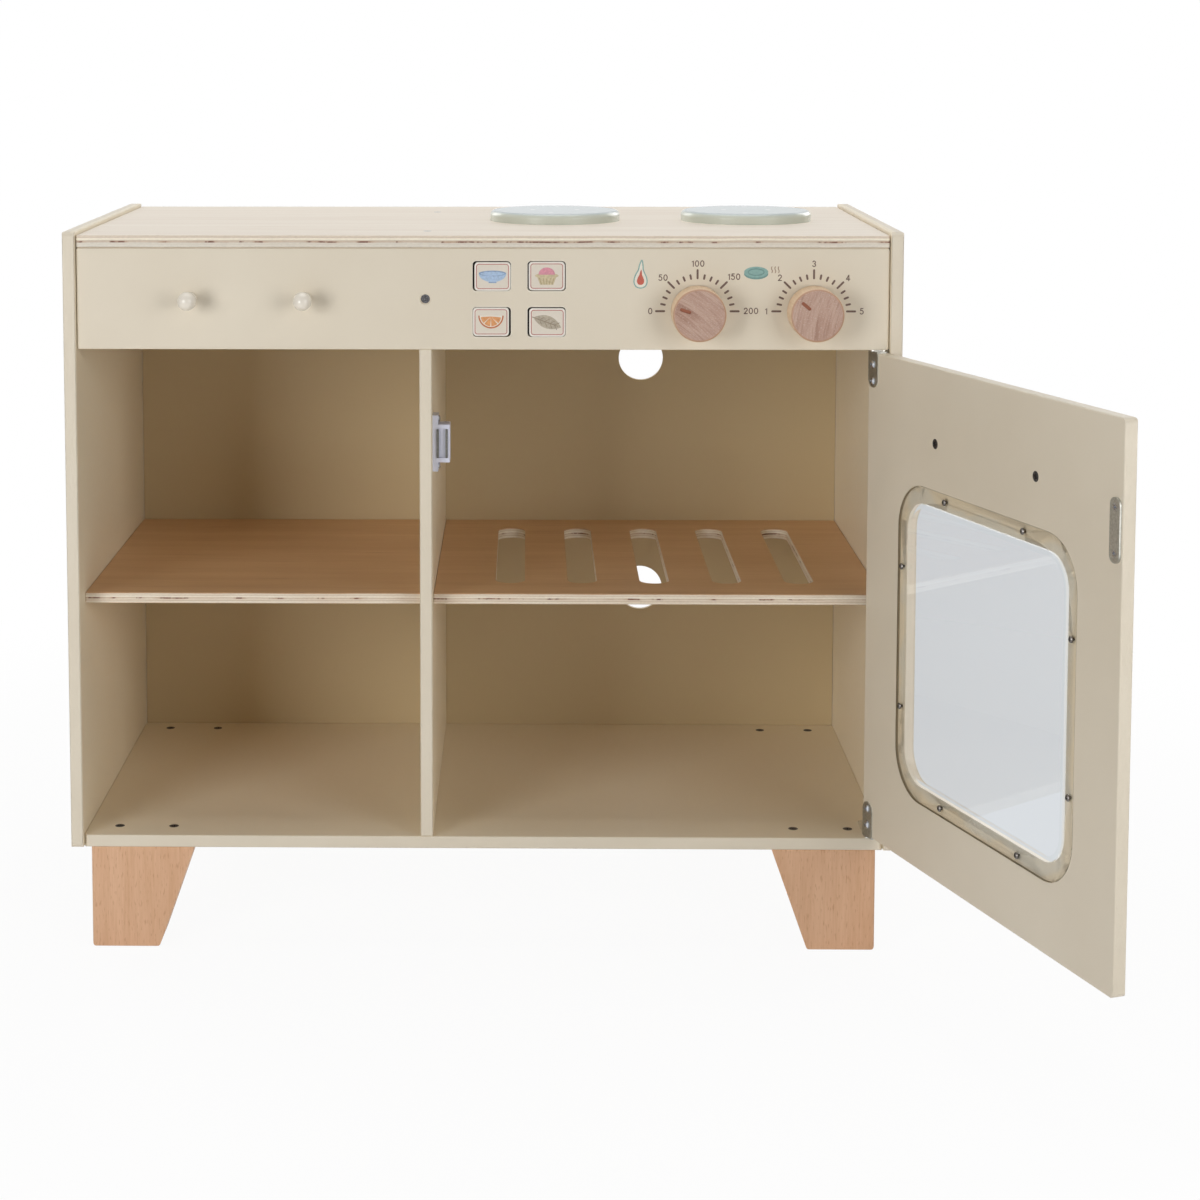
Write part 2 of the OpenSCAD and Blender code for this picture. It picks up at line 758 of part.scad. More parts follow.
// Ring of points around the wire of a spring, t turns up from its foot
function spring_ring(t, turns, height, coil_r, wire_r, sides) = [for (k = [0 : sides - 1])
    let (a = 360 * k / sides, r = coil_r + wire_r * cos(a))
    [r * cos(360 * t), r * sin(360 * t), wire_r + (height - 2 * wire_r) * t / turns + wire_r * sin(a)]];

// Helical compression spring that stands on z = 0
module coil_spring(turns, height, coil_d, wire) {
    rings = ceil(turns * spring_ring_steps);
    n = wire_sides;
    points = [for (j = [0 : rings])
        each spring_ring(turns * j / rings, turns, height, (coil_d - wire) / 2, wire / 2, n)];
    sides = [for (j = [0 : rings - 1], k = [0 : n - 1]) each [
        [j * n + k, (j + 1) * n + k, (j + 1) * n + (k + 1) % n],
        [j * n + k, (j + 1) * n + (k + 1) % n, j * n + (k + 1) % n]]];
    first = [for (k = [1 : n - 2]) [0, k, k + 1]];
    last = [for (k = [1 : n - 2]) [rings * n, rings * n + k + 1, rings * n + k]];
    polyhedron(points, concat(sides, first, last), convexity = 6);
}

// Springs, drawn at the length that they have with the buttons pressed
module button_springs() {
    pressed = cell_deep - flange_t - button_travel - cup_wall;
    color(zinc) for (i = [0 : 3])
        at_button(i) translate([0, 0, -board_t - cell_deep]) coil_spring(spring_turns, pressed, spring_d, wire_d);
}

// Carcass hinge leaf, flat on z = 0 with its pivot at the origin and its
// screws along +Y
module hinge_leaf() {
    front = pivot_y - board_y - 0.2;
    color(zinc) difference() {
        translate([0, leaf_len / 2 - front, 0]) linear_extrude(hinge_t) rounded_rect(leaf_w, leaf_len, leaf_corner_r);
        translate([0, 0, -past]) cylinder(h = hinge_t + 2 * past, d = rivet_d + 2 * fit);
        at_leaf_screws() pan_hole(hinge_screw);
    }
}

module at_leaf_screws() {
    for (i = [1, 2]) translate([0, i * hinge_screw_pitch, hinge_t]) children();
}

// What a leaf's screws and the rivet's tail take out of the wood below it
module leaf_cuts() {
    at_leaf_screws() pan_hole(hinge_screw);
    translate([0, 0, -rivet_head_h - rivet_room]) cylinder(h = rivet_head_h + rivet_room + past, d = rivet_head_d + 2 * rivet_room);
}

module lower_leaf_place() {
    translate([pivot_x, pivot_y, base_top]) children();
}

module upper_leaf_place() {
    translate([pivot_x, pivot_y, panel_under]) mirror([0, 0, 1]) children();
}

module hinge_leaf_screws() {
    color(zinc) {
        lower_leaf_place() at_leaf_screws() pan_screw(hinge_screw);
        upper_leaf_place() at_leaf_screws() pan_screw(hinge_screw);
    }
}

// Turns what is drawn on the closed door to where the door stands
module on_door() {
    translate([pivot_x, pivot_y, 0]) rotate([0, 0, door_open]) translate([-pivot_x, -pivot_y, 0]) children();
}

module door_panel() {
    color(cream_paint) on_door() difference() {
        eased_block([hinge_edge_x - door_w, board_y, door_under], [hinge_edge_x, door_inner_y, door_top],
            [edge_r, door_corner_r, edge_r]);
        translate([door_mid_x, board_y - past, window_z]) rotate([-90, 0, 0])
            linear_extrude(board_t + 2 * past) rounded_rect(window_w, window_h, window_r);
        translate([door_mid_x, door_inner_y - pane_t, window_z]) rotate([-90, 0, 0])
            linear_extrude(pane_t + past) rounded_rect(pane_w + 2 * pane_gap, pane_h + 2 * pane_gap, pane_r);
        at_pane_screws() pan_hole(pane_screw);
        at_handle_screws() countersunk_hole(handle_screw);
        at_strike_screws() countersunk_hole(small_screw);
        for (end = [-1, 1]) arm_place(end) {
            at_arm_screws() pan_hole(hinge_screw);
            translate([0, 0, -rivet_head_h - rivet_room])
                cylinder(h = rivet_head_h + rivet_room + past, d = rivet_head_d + 2 * rivet_room);
        }
    }
}

module window_pane() {
    color(clear_sheet) on_door() difference() {
        translate([door_mid_x, door_inner_y - pane_t, window_z]) rotate([-90, 0, 0])
            linear_extrude(pane_t) rounded_rect(pane_w, pane_h, pane_r);
        at_pane_screws() pan_hole(pane_screw);
    }
}

module at_pane_screws() {
    across = pane_w / 2 - pane_screw_edge;
    up = pane_h / 2 - pane_screw_edge;
    for (sx = [-1, 1], sz = [-1, 1]) {
        translate([door_mid_x + sx * pane_screw_x, door_inner_y, window_z + sz * up]) rotate([-90, 0, 0]) children();
        translate([door_mid_x + sx * across, door_inner_y, window_z + sz * pane_screw_x]) rotate([-90, 0, 0]) children();
    }
}

module pane_screws() {
    color(zinc) on_door() at_pane_screws() pan_screw(pane_screw);
}

// Place of a door arm: the origin is the pivot on the door's edge, +Z points
// out of the door. end is -1 at the door's lower edge and 1 at its upper one.
module arm_place(end) {
    translate([pivot_x, pivot_y, end < 0 ? door_under : door_top]) mirror([0, 0, end < 0 ? 1 : 0]) children();
}

module at_arm_screws() {
    for (i = [0, 1])
        translate([pivot_inset - arm_inset - arm_w / 2, board_t / 2 + hinge_t, -first_hinge_screw - i * hinge_screw_pitch])
            rotate([-90, 0, 0]) children();
}

// Strip from y = 0 to its end at y = len, where its corners are round
module tongue(w, len, r) {
    translate([0, len / 2]) rounded_rect(w, len, r);
    translate([-w / 2, 0]) square([w, len / 2]);
}

// Door arm: a tab over the door's edge and a leg down its inner face
module hinge_arm(end) {
    tab_len = board_t + hinge_t - 0.2;
    mid_x = pivot_inset - arm_inset - arm_w / 2;
    color(zinc) on_door() arm_place(end) difference() {
        union() {
            translate([mid_x, board_t / 2 + hinge_t, 0]) rotate(180)
                linear_extrude(hinge_t) tongue(arm_w, tab_len, leaf_corner_r);
            translate([mid_x, board_t / 2, hinge_t]) rotate([-90, 0, 0])
                linear_extrude(hinge_t) tongue(arm_w, leg_len, arm_w / 2 - 0.2);
        }
        translate([0, 0, -past]) cylinder(h = hinge_t + 2 * past, d = rivet_d + 2 * fit);
        at_arm_screws() pan_hole(hinge_screw);
    }
}

// Rivets that join the door's arms to the carcass leaves
module hinge_rivets() {
    color(zinc) on_door() for (end = [-1, 1]) arm_place(end) {
        translate([0, 0, -rivet_head_h]) cylinder(h = rivet_head_h, d = rivet_head_d);
        translate([0, 0, -rivet_head_h / 2]) cylinder(h = 2 * hinge_t + leaf_gap + rivet_head_h, d = rivet_d);
        translate([0, 0, 2 * hinge_t + leaf_gap + 0.05]) cylinder(h = rivet_head_h, d = rivet_head_d);
    }
}

module hinge_arm_screws() {
    color(zinc) on_door() for (end = [-1, 1]) arm_place(end) at_arm_screws() pan_screw(hinge_screw);
}

module at_strike_screws() {
    for (dz = [-1, 1])
        translate([strike_x, door_inner_y + strike_t, catch_z + dz * strike_pitch / 2])
            rotate([-90, 0, 0]) children();
}

module strike_plate() {
    color(zinc) on_door() difference() {
        translate([strike_x, door_inner_y, catch_z]) rotate([-90, 0, 0]) linear_extrude(strike_t)
            rounded_rect(strike_w, strike_len, strike_w / 2 - 0.2);
        at_strike_screws() countersunk_hole(small_screw);
    }
}

module strike_screws() {
    color(zinc) on_door() at_strike_screws() countersunk_screw(small_screw);
}

module at_handle_screws() {
    for (dx = [-1, 1])
        translate([door_mid_x + dx * handle_pitch / 2, door_inner_y, handle_z])
            rotate([-90, 0, 0]) children();
}

// Bar handle with two posts, in one piece of beech
module door_handle() {
    bar_y = board_y - handle_post;
    color(beech) on_door() difference() {
        union() {
            eased_block([door_mid_x - handle_len / 2, bar_y - handle_t, handle_z - handle_h / 2],
                [door_mid_x + handle_len / 2, bar_y, handle_z + handle_h / 2], [handle_r, handle_r, handle_r]);
            for (dx = [-1, 1])
                translate([door_mid_x + dx * handle_pitch / 2, board_y, handle_z]) rotate([90, 0, 0])
                    cylinder(h = handle_post + handle_t / 2, d = handle_h - 1);
        }
        at_handle_screws() countersunk_hole(handle_screw);
    }
}

module at_catch_screws() {
    for (dz = [-1, 1])
        translate([divider_right + catch_flange_t, catch_front_y + catch_d / 2, catch_z + dz * catch_pitch / 2])
            rotate([0, 90, 0]) children();
}

// Catch housing: a flange against the divider and a body with a slot for the
// magnet and its two pole plates
module catch_housing() {
    pocket_w = pole_spacing + pole_t + 2 * fit;
    color(white_plastic) difference() {
        union() {
            translate([divider_right, catch_front_y, catch_z - catch_flange_len / 2])
                cube([catch_flange_t, catch_d, catch_flange_len]);
            eased_block([divider_right, catch_front_y, catch_z - catch_body_len / 2],
                [divider_right + catch_body_w, catch_front_y + catch_d, catch_z + catch_body_len / 2], [0.8, 0.8, 0.8]);
        }
        translate([pole_mid_x - pocket_w / 2, catch_front_y - past, catch_z - pole_len / 2 - fit])
            cube([pocket_w, catch_d - 2 + past, pole_len + 2 * fit]);
        at_catch_screws() pan_hole(small_screw);
    }
}

module catch_pole_plates() {
    color(dark_steel) for (dx = [-1, 1])
        translate([pole_mid_x + dx * pole_spacing / 2 - pole_t / 2, pole_front_y, catch_z - pole_len / 2])
            cube([pole_t, catch_d - 2 + pole_proud, pole_len]);
}

module catch_magnet() {
    width = pole_spacing - pole_t - 2 * fit;
    color(dark_steel) translate([pole_mid_x - width / 2, catch_front_y + 1, catch_z - pole_len / 2])
        cube([width, catch_d - 3, pole_len]);
}

side_panel(-1);  // side_panel_left
side_panel(1);  // side_panel_right
bottom_board();
worktop();
back_panel();
divider();
control_panel();
shelf();
oven_rack();
foot(-1, -1);  // foot_front_left
foot(1, -1);  // foot_front_right
foot(-1, 1);  // foot_rear_left
foot(1, 1);  // foot_rear_right
color(dark_steel) for (side = [-1, 1], end = [-1, 1]) at_foot_screws(side, end) countersunk_screw(foot_screw);  // foot_screws
color(zinc) for (side = [-1, 1]) at_all_side_screws(side) countersunk_screw(side_screw);  // side_screws
color(zinc) at_worktop_screws() countersunk_screw(top_screw);  // worktop_screws
color(dark_steel) at_panel_face_screw() countersunk_screw(panel_screw);  // control_panel_screw
color(zinc) at_back_screws() countersunk_screw(back_screw);  // back_panel_screws
color(beech) at_dowels() cylinder(h = dowel_len, d = dowel_d, center = true);  // shelf_dowels
hinge_block();
color(zinc) at_block_screws() countersunk_screw(panel_screw);  // hinge_block_screws
peg(0);  // peg_left
peg(1);  // peg_right
hob_plate(-1);  // hob_plate_left
hob_plate(1);  // hob_plate_right
color(zinc) at_plate_screws() pan_screw(plate_screw);  // hob_plate_screws
button_box();
color(zinc) at_box_screws() pan_screw(box_screw);  // button_box_screws
button_springs();
button(0);  // button_upper_left
button(1);  // button_upper_right
button(2);  // button_lower_left
button(3);  // button_lower_right
knob(0, oven_mark_angle);  // oven_knob
knob_washer(0);  // oven_knob_washer
knob_fixing(0);  // oven_knob_screw
knob(1, hob_mark_angle);  // hob_knob
knob_washer(1);  // hob_knob_washer
knob_fixing(1);  // hob_knob_screw
upper_leaf_place() hinge_leaf();  // upper_hinge_leaf
lower_leaf_place() hinge_leaf();  // lower_hinge_leaf
hinge_leaf_screws();
catch_housing();
catch_pole_plates();
catch_magnet();
color(zinc) at_catch_screws() pan_screw(small_screw);  // catch_screws
door_panel();
window_pane();
pane_screws();
hinge_arm(1);  // upper_hinge_arm
hinge_arm(-1);  // lower_hinge_arm
hinge_rivets();
hinge_arm_screws();
strike_plate();
strike_screws();
door_handle();
color(dark_steel) on_door() at_handle_screws() countersunk_screw(handle_screw);  // handle_screws
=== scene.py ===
"""Toy oven: the wooden base unit of a play kitchen, with its door standing open.

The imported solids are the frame. Each section below is one piece, or a group of
like pieces, in the order in which the unit is put together. All lengths are in
metres unless a name ends in _MM or _mm.
"""

import math

import bmesh
import bpy
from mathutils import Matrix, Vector


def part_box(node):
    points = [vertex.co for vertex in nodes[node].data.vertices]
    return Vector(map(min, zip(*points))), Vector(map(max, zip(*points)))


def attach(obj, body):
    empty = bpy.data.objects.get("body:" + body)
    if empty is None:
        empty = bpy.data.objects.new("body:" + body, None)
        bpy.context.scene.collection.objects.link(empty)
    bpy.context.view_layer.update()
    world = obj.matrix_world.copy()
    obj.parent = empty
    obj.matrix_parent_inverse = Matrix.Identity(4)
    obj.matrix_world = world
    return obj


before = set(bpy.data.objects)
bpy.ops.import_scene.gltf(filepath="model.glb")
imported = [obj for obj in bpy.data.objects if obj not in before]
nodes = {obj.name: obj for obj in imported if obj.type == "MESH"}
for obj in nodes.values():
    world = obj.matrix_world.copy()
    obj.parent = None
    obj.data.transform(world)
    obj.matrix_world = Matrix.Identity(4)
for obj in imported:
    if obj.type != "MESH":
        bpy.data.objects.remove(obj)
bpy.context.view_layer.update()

# The view: a long lens a little right of the unit's middle and just above its
# worktop. VIEW_FROM is measured from the left side panel's lower front corner.
VIEW_FROM = (0.3322, -1.6968, 0.6626)
VIEW_TURN = (math.pi / 2 - 0.0853, 0.0006, 0.0156)
LENS_MM = 71.77
LENS_SHIFT = (0.0919, -0.2965)

side_low, side_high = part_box("side_panel_left")
unit_left, unit_front = side_low.x, side_low.y
unit_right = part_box("side_panel_right")[1].x
unit_mid = Vector(((unit_left + unit_right) / 2, (unit_front + side_high.y) / 2, 0))

camera_data = bpy.data.cameras.new("view")
camera_data.lens = LENS_MM
camera_data.shift_x, camera_data.shift_y = LENS_SHIFT
camera_data.clip_end = 60
camera = bpy.data.objects.new("view", camera_data)
camera.location = (unit_left + VIEW_FROM[0], unit_front + VIEW_FROM[1], VIEW_FROM[2])
camera.rotation_euler = VIEW_TURN
bpy.context.collection.objects.link(camera)
bpy.context.scene.camera = camera
bpy.context.scene.view_settings.view_transform = "Standard"


# The studio: a pale floor that runs out to white, two low soft boxes in front,
# a wide one overhead, two weak ones behind, and dim warm light from the walls.
def put(tree, kind, values=(), **settings):
    """A node of the tree. values fills its inputs, by name or number, with a
    plain value or with another node's output."""
    node = tree.nodes.new(kind)
    for key, value in settings.items():
        setattr(node, key, value)
    for key, value in dict(values).items():
        if isinstance(value, bpy.types.NodeSocket):
            tree.links.new(value, node.inputs[key])
        else:
            node.inputs[key].default_value = value
    return node


def calc(tree, operation, *values):
    """The result of a Math node."""
    return put(tree, "ShaderNodeMath", enumerate(values), operation=operation).outputs[0]


def linear(red, green, blue):
    """Linear colour of a sample given as it looks on a screen."""
    parts = [v / 255 for v in (red, green, blue)]
    parts = [v / 12.92 if v <= 0.04045 else ((v + 0.055) / 1.055) ** 2.4 for v in parts]
    return (*parts, 1)


def blend(tree, share, first, second, how="MIX"):
    """Colour between first and second."""
    values = {0: share, 6: first, 7: second}
    return put(tree, "ShaderNodeMix", values, data_type="RGBA", blend_type=how).outputs[2]


BACKGROUND = (1, 1, 1, 1)
BEHIND_PANE = (0.70, 0.735, 0.77, 1)


def seen_directly(tree):
    """1 for the rays that look at the background or mirror it, and the colour
    that they see: white, or a cool grey where they look through the pane."""
    path = put(tree, "ShaderNodeLightPath").outputs
    seen = calc(tree, "MAXIMUM", path["Is Camera Ray"], path["Is Glossy Ray"])
    through = path["Is Transmission Ray"]
    return calc(tree, "MAXIMUM", seen, through), blend(tree, through, BACKGROUND, BEHIND_PANE)


WALL_LIGHT = (0.035, 0.031, 0.026, 1)
world = bpy.data.worlds.new("studio walls")
world.use_nodes = True
bpy.context.scene.world = world
tree = world.node_tree
tree.nodes.clear()
walls = put(tree, "ShaderNodeBackground", {"Color": WALL_LIGHT})
seen, seen_colour = seen_directly(tree)
backdrop = put(tree, "ShaderNodeBackground", {"Color": seen_colour})
mixed = put(tree, "ShaderNodeMixShader", {0: seen, 1: walls.outputs[0], 2: backdrop.outputs[0]})
put(tree, "ShaderNodeOutputWorld", {"Surface": mixed.outputs[0]})

FLOOR_HALF = 9.0
FLOOR_DROP = 0.0004
FLOOR_GREY = (0.9, 0.9, 0.9, 1)
FLOOR_SHADE = 0.06
SHADE_FADE = (0.45, 1.0)
floor_mesh = bpy.data.meshes.new("studio_floor")
corners = [(x * FLOOR_HALF, y * FLOOR_HALF, 0) for x, y in ((-1, -1), (1, -1), (1, 1), (-1, 1))]
floor_mesh.from_pydata(corners, [], [(0, 1, 2, 3)])
floor = bpy.data.objects.new("studio_floor", floor_mesh)
floor.location = (unit_mid.x, unit_mid.y, -FLOOR_DROP)
bpy.context.collection.objects.link(floor)
floor_paint = bpy.data.materials.new("pale studio floor")
floor_paint.use_nodes = True
tree = floor_paint.node_tree
tree.nodes.clear()
place = put(tree, "ShaderNodeTexCoord").outputs["Object"]
away = put(tree, "ShaderNodeVectorMath", {0: place}, operation="LENGTH").outputs["Value"]
fade = put(
    tree,
    "ShaderNodeMapRange",
    {"Value": away, 1: SHADE_FADE[0], 2: SHADE_FADE[1], 3: 1 - FLOOR_SHADE, 4: 1.0},
    interpolation_type="SMOOTHSTEP",
).outputs[0]
matt = put(tree, "ShaderNodeBsdfDiffuse", {"Color": FLOOR_GREY})
seen, seen_colour = seen_directly(tree)
glow = put(tree, "ShaderNodeEmission", {"Color": seen_colour, "Strength": 1.0})
share = calc(tree, "MULTIPLY", fade, seen)
mixed = put(tree, "ShaderNodeMixShader", {0: share, 1: matt.outputs[0], 2: glow.outputs[0]})
put(tree, "ShaderNodeOutputMaterial", {"Surface": mixed.outputs[0]})
floor_mesh.materials.append(floor_paint)


AIM_HEIGHT = 0.3


def soft_box(name, place, size, watts):
    """An area lamp aimed at the unit's middle. place is measured from the
    left side panel's lower front corner."""
    lamp = bpy.data.lights.new(name, "AREA")
    lamp.shape = "RECTANGLE"
    lamp.size, lamp.size_y = size
    lamp.energy = watts
    aim = unit_mid + Vector((0, 0, AIM_HEIGHT))
    thing = bpy.data.objects.new(name, lamp)
    thing.location = Vector((unit_left, unit_front, 0)) + Vector(place)
    thing.rotation_euler = (thing.location - aim).to_track_quat("Z", "Y").to_euler()
    bpy.context.collection.objects.link(thing)


soft_box("soft_box_left", (-0.80, -1.42, 0.61), (0.75, 0.8), 13.9)
soft_box("soft_box_right", (1.34, -1.18, 0.62), (0.75, 0.8), 8.0)
soft_box("soft_box_top", (0.3, 0.35, 2.4), (1.8, 1.4), 22.5)
soft_box("soft_box_rear_left", (-1.4, 2.0, 1.3), (1.2, 1.2), 16)
soft_box("soft_box_rear_right", (2.0, 2.0, 1.3), (1.2, 1.2), 16)


# Carcass boards: 9 mm plywood with eased edges, filled and sprayed with two
# coats of satin cream paint. The sides carry the other boards on screws.
CREAM = linear(227, 217, 198)
CREAM_DEEP = linear(222, 211, 191)
# The inner faces' paler cream is painted light: it stands in for the light that bounces between the
# boards inside the unit.
INSIDE_PAINTED_LIGHT = linear(240, 228, 203)
INSIDE_FROM = (0.005, 0.006)


def new_finish(name, roughness, **inputs):
    """A material with one shader: its tree and its shader."""
    finish = bpy.data.materials.new(name)
    finish.use_nodes = True
    tree = finish.node_tree
    tree.nodes.clear()
    shader = put(tree, "ShaderNodeBsdfPrincipled", {"Roughness": roughness, **inputs})
    put(tree, "ShaderNodeOutputMaterial", {"Surface": shader.outputs[0]})
    return finish, tree, shader


def speckle(tree, place, scale, detail=2.0, rough=0.5, stretch=(1, 1, 1)):
    """Noise between 0 and 1. A small stretch value draws it out along that axis."""
    if stretch != (1, 1, 1):
        place = put(tree, "ShaderNodeMapping", {"Vector": place, "Scale": stretch}).outputs[0]
    return put(
        tree,
        "ShaderNodeTexNoise",
        {"Vector": place, "Scale": scale, "Detail": detail, "Roughness": rough},
    ).outputs[0]


def ramp(tree, value, low, high, start=0.0, end=1.0):
    """value run from low to high, spread over start to end."""
    return put(tree, "ShaderNodeMapRange", {0: value, 1: low, 2: high, 3: start, 4: end}).outputs[0]


def relief(tree, shader, height, depth, before=None):
    """Bump of the given depth."""
    values = {"Height": height, "Distance": depth}
    if before is not None:
        values["Normal"] = before
    bump = put(tree, "ShaderNodeBump", values).outputs[0]
    tree.links.new(bump, shader.inputs["Normal"])
    return bump


def facing(tree, axis):
    """How squarely the surface faces along an axis of the unit, from 0 to 1."""
    normal = put(tree, "ShaderNodeTexCoord").outputs["Normal"]
    return calc(tree, "ABSOLUTE", put(tree, "ShaderNodeSeparateXYZ", {0: normal}).outputs[axis])


def drifting(tree, light, deep):
    """A slow drift between two tones of a paint."""
    place = put(tree, "ShaderNodeTexCoord").outputs["Object"]
    return blend(tree, ramp(tree, speckle(tree, place, 9, 3), 0.3, 0.7), light, deep)


def sprayed_paint(
    name, light, deep, roughness, peel_depth, edge_peel=0.0, inside=None, uneven=0.05
):
    """Sprayed paint: a slow drift of tone and the fine orange peel of the gun.
    edge_peel is the depth of the coarser peel on edges that face front, and
    inside is the paler tone of the faces that lie between the side panels: painted
    light that stands in for the light bouncing between the boards.
    uneven is how far the roughness drifts."""
    finish, tree, shader = new_finish(name, roughness)
    place = put(tree, "ShaderNodeTexCoord").outputs["Object"]
    tone = drifting(tree, light, deep)
    if inside is not None:
        right = put(tree, "ShaderNodeSeparateXYZ", {0: place}).outputs["X"]
        off = calc(tree, "ABSOLUTE", calc(tree, "SUBTRACT", right, unit_mid.x))
        reach = (unit_right - unit_left) / 2
        within = ramp(tree, off, *[reach - depth for depth in INSIDE_FROM])
        # Painted light: inner faces that don't face front take the paler cream.
        pale = calc(tree, "MULTIPLY", within, ramp(tree, facing(tree, "Y"), 0.75, 0.25))
        tone = blend(tree, pale, tone, inside)
    tree.links.new(tone, shader.inputs["Base Color"])
    bump = relief(tree, shader, speckle(tree, place, 900, 2, 0.6), peel_depth)
    if edge_peel:
        coarse = speckle(tree, place, 330, 3, 0.6, (1, 1, 0.35))
        front = ramp(tree, facing(tree, "Y"), 0.8, 0.95)
        relief(tree, shader, calc(tree, "MULTIPLY", coarse, front), edge_peel, bump)
    patchy = speckle(tree, place, 260, 2)
    gloss = ramp(tree, patchy, 0.3, 0.7, roughness - uneven, roughness + uneven)
    tree.links.new(gloss, shader.inputs["Roughness"])
    return finish


def dress(finish, *names):
    """Gives solid nodes a finish."""
    for name in names:
        slots = nodes[name].data.materials
        slots.clear()
        slots.append(finish)


SATIN = 0.42
FINE_PEEL = 0.00004
dress(
    sprayed_paint(
        "satin cream paint", CREAM, CREAM_DEEP, SATIN, FINE_PEEL, inside=INSIDE_PAINTED_LIGHT
    ),
    "bottom_board",
    "control_panel",
)
dress(
    sprayed_paint(
        "satin cream paint on board edges",
        CREAM,
        CREAM_DEEP,
        SATIN,
        peel_depth=0.00003,
        edge_peel=0.0004,
        inside=INSIDE_PAINTED_LIGHT,
    ),
    "side_panel_left",
    "side_panel_right",
    "divider",
)


# Back: a thin fibreboard panel with two round holes for cords and hands. Its
# inner face takes a deeper, yellower cream, which is painted shade: it stands in
# for the dim light deep inside the unit.
BACK_PAINTED_SHADE = linear(207, 187, 148)
OUTER_SKIN = (0.0002, 0.0004)


def colour_so_far(finish):
    """A finish's tree, the socket of its colour, and what feeds that now."""
    tree = finish.node_tree
    shader = next(node for node in tree.nodes if node.type == "BSDF_PRINCIPLED")
    colour = shader.inputs["Base Color"]
    return tree, colour, colour.links[0].from_socket


def back_paint():
    """The boards' paint outside, and inside a deeper yellower cream that is painted shade."""
    finish = sprayed_paint("cream paint on the back", CREAM, CREAM_DEEP, 0.5, FINE_PEEL)
    tree, colour, outside = colour_so_far(finish)
    outer_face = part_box("back_panel")[1].y
    place = put(tree, "ShaderNodeTexCoord").outputs["Object"]
    depth = put(tree, "ShaderNodeSeparateXYZ", {0: place}).outputs["Y"]
    # Painted shade: the inner face takes the deeper yellower cream.
    inner = ramp(tree, depth, *[outer_face - skin for skin in OUTER_SKIN])
    tree.links.new(blend(tree, inner, outside, BACK_PAINTED_SHADE), colour)
    return finish


dress(back_paint(), "back_panel")


# Worktop: 9 mm birch plywood with a clear matt lacquer. Its edges are bare, so
# the plies, a dark glue line and a few small knots show along the front.
def mixture(tree, first, second, first_share):
    """Two noises in shares that add up to one."""
    scaled = calc(tree, "MULTIPLY", first, first_share)
    return calc(tree, "ADD", scaled, calc(tree, "MULTIPLY", second, 1 - first_share))


def bands(tree, value, stops):
    """Colours through (position, colour) stops."""
    node = put(tree, "ShaderNodeValToRGB", {0: value})
    points = node.color_ramp.elements
    while len(points) < len(stops):
        points.new(0.5)
    for point, (position, colour) in zip(points, stops):
        point.position = position
        point.color = colour
    return node.outputs[0]


GLUE_STAIN = linear(176, 134, 104)
KNOT_BROWN = linear(108, 60, 43)


def plywood(name, board, veneer, plies, knot_height, roughness):
    """Veneered faces with the grain along X, and plies on every edge. plies
    runs from the underside up, and the knots lie at knot_height of it."""
    low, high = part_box(board)
    light, deep, streak = veneer
    finish, tree, shader = new_finish(name, roughness)
    place = put(tree, "ShaderNodeTexCoord").outputs["Object"]
    figure = speckle(tree, place, 60, 3, 0.55, (0.06, 1, 1))
    fibre = speckle(tree, place, 900, 2, 0.6, (0.03, 1, 1))
    face = blend(tree, ramp(tree, mixture(tree, figure, fibre, 0.6), 0.38, 0.62), light, deep)
    pore = ramp(tree, speckle(tree, place, 420, 2, 0.5, (0.035, 1, 1)), 0.62, 0.74, 0, 0.55)
    face = blend(tree, pore, face, streak)

    height = put(tree, "ShaderNodeSeparateXYZ", {0: place}).outputs["Z"]
    wander = ramp(tree, speckle(tree, place, 60, 2, 0.5, (0.4, 0.4, 1)), 0.3, 0.7, -0.025, 0.025)
    level = calc(tree, "ADD", ramp(tree, height, low.z, high.z), wander)
    layers = bands(tree, level, plies)
    off = calc(tree, "ABSOLUTE", calc(tree, "SUBTRACT", level, knot_height))
    stain = ramp(tree, speckle(tree, place, 82, 1, 0.5, (0.8, 0.8, 0.3)), 0.47, 0.60, 0, 0.55)
    stain = calc(tree, "MULTIPLY", stain, ramp(tree, off, 0.10, 0.04))
    layers = blend(tree, stain, layers, GLUE_STAIN)
    knot = ramp(tree, speckle(tree, place, 82, 3, 0.7, (0.8, 0.8, 0.3)), 0.53, 0.58)
    broken = ramp(tree, speckle(tree, place, 330, 2, 0.6, (0.7, 0.7, 1)), 0.36, 0.50, 0.25, 1.0)
    knot = calc(tree, "MULTIPLY", knot, broken)
    knot = calc(tree, "MULTIPLY", knot, ramp(tree, off, 0.075, 0.045))
    layers = blend(tree, knot, layers, KNOT_BROWN)
    haze = ramp(tree, speckle(tree, place, 40, 3, 0.6, (0.5, 0.5, 2.5)), 0.4, 0.7, 0, 0.18)
    layers = blend(tree, haze, layers, streak)
    grit = ramp(tree, speckle(tree, place, 1500, 2, 0.6, (0.3, 0.3, 1)), 0.3, 0.7, 0.93, 1.05)
    shade = put(tree, "ShaderNodeCombineColor", {0: grit, 1: grit, 2: grit}).outputs[0]
    layers = blend(tree, 1.0, layers, shade, "MULTIPLY")
    flat = ramp(tree, facing(tree, "Z"), 0.80, 0.92)
    tree.links.new(blend(tree, flat, layers, face), shader.inputs["Base Color"])
    relief(tree, shader, fibre, 0.00004)
    return finish


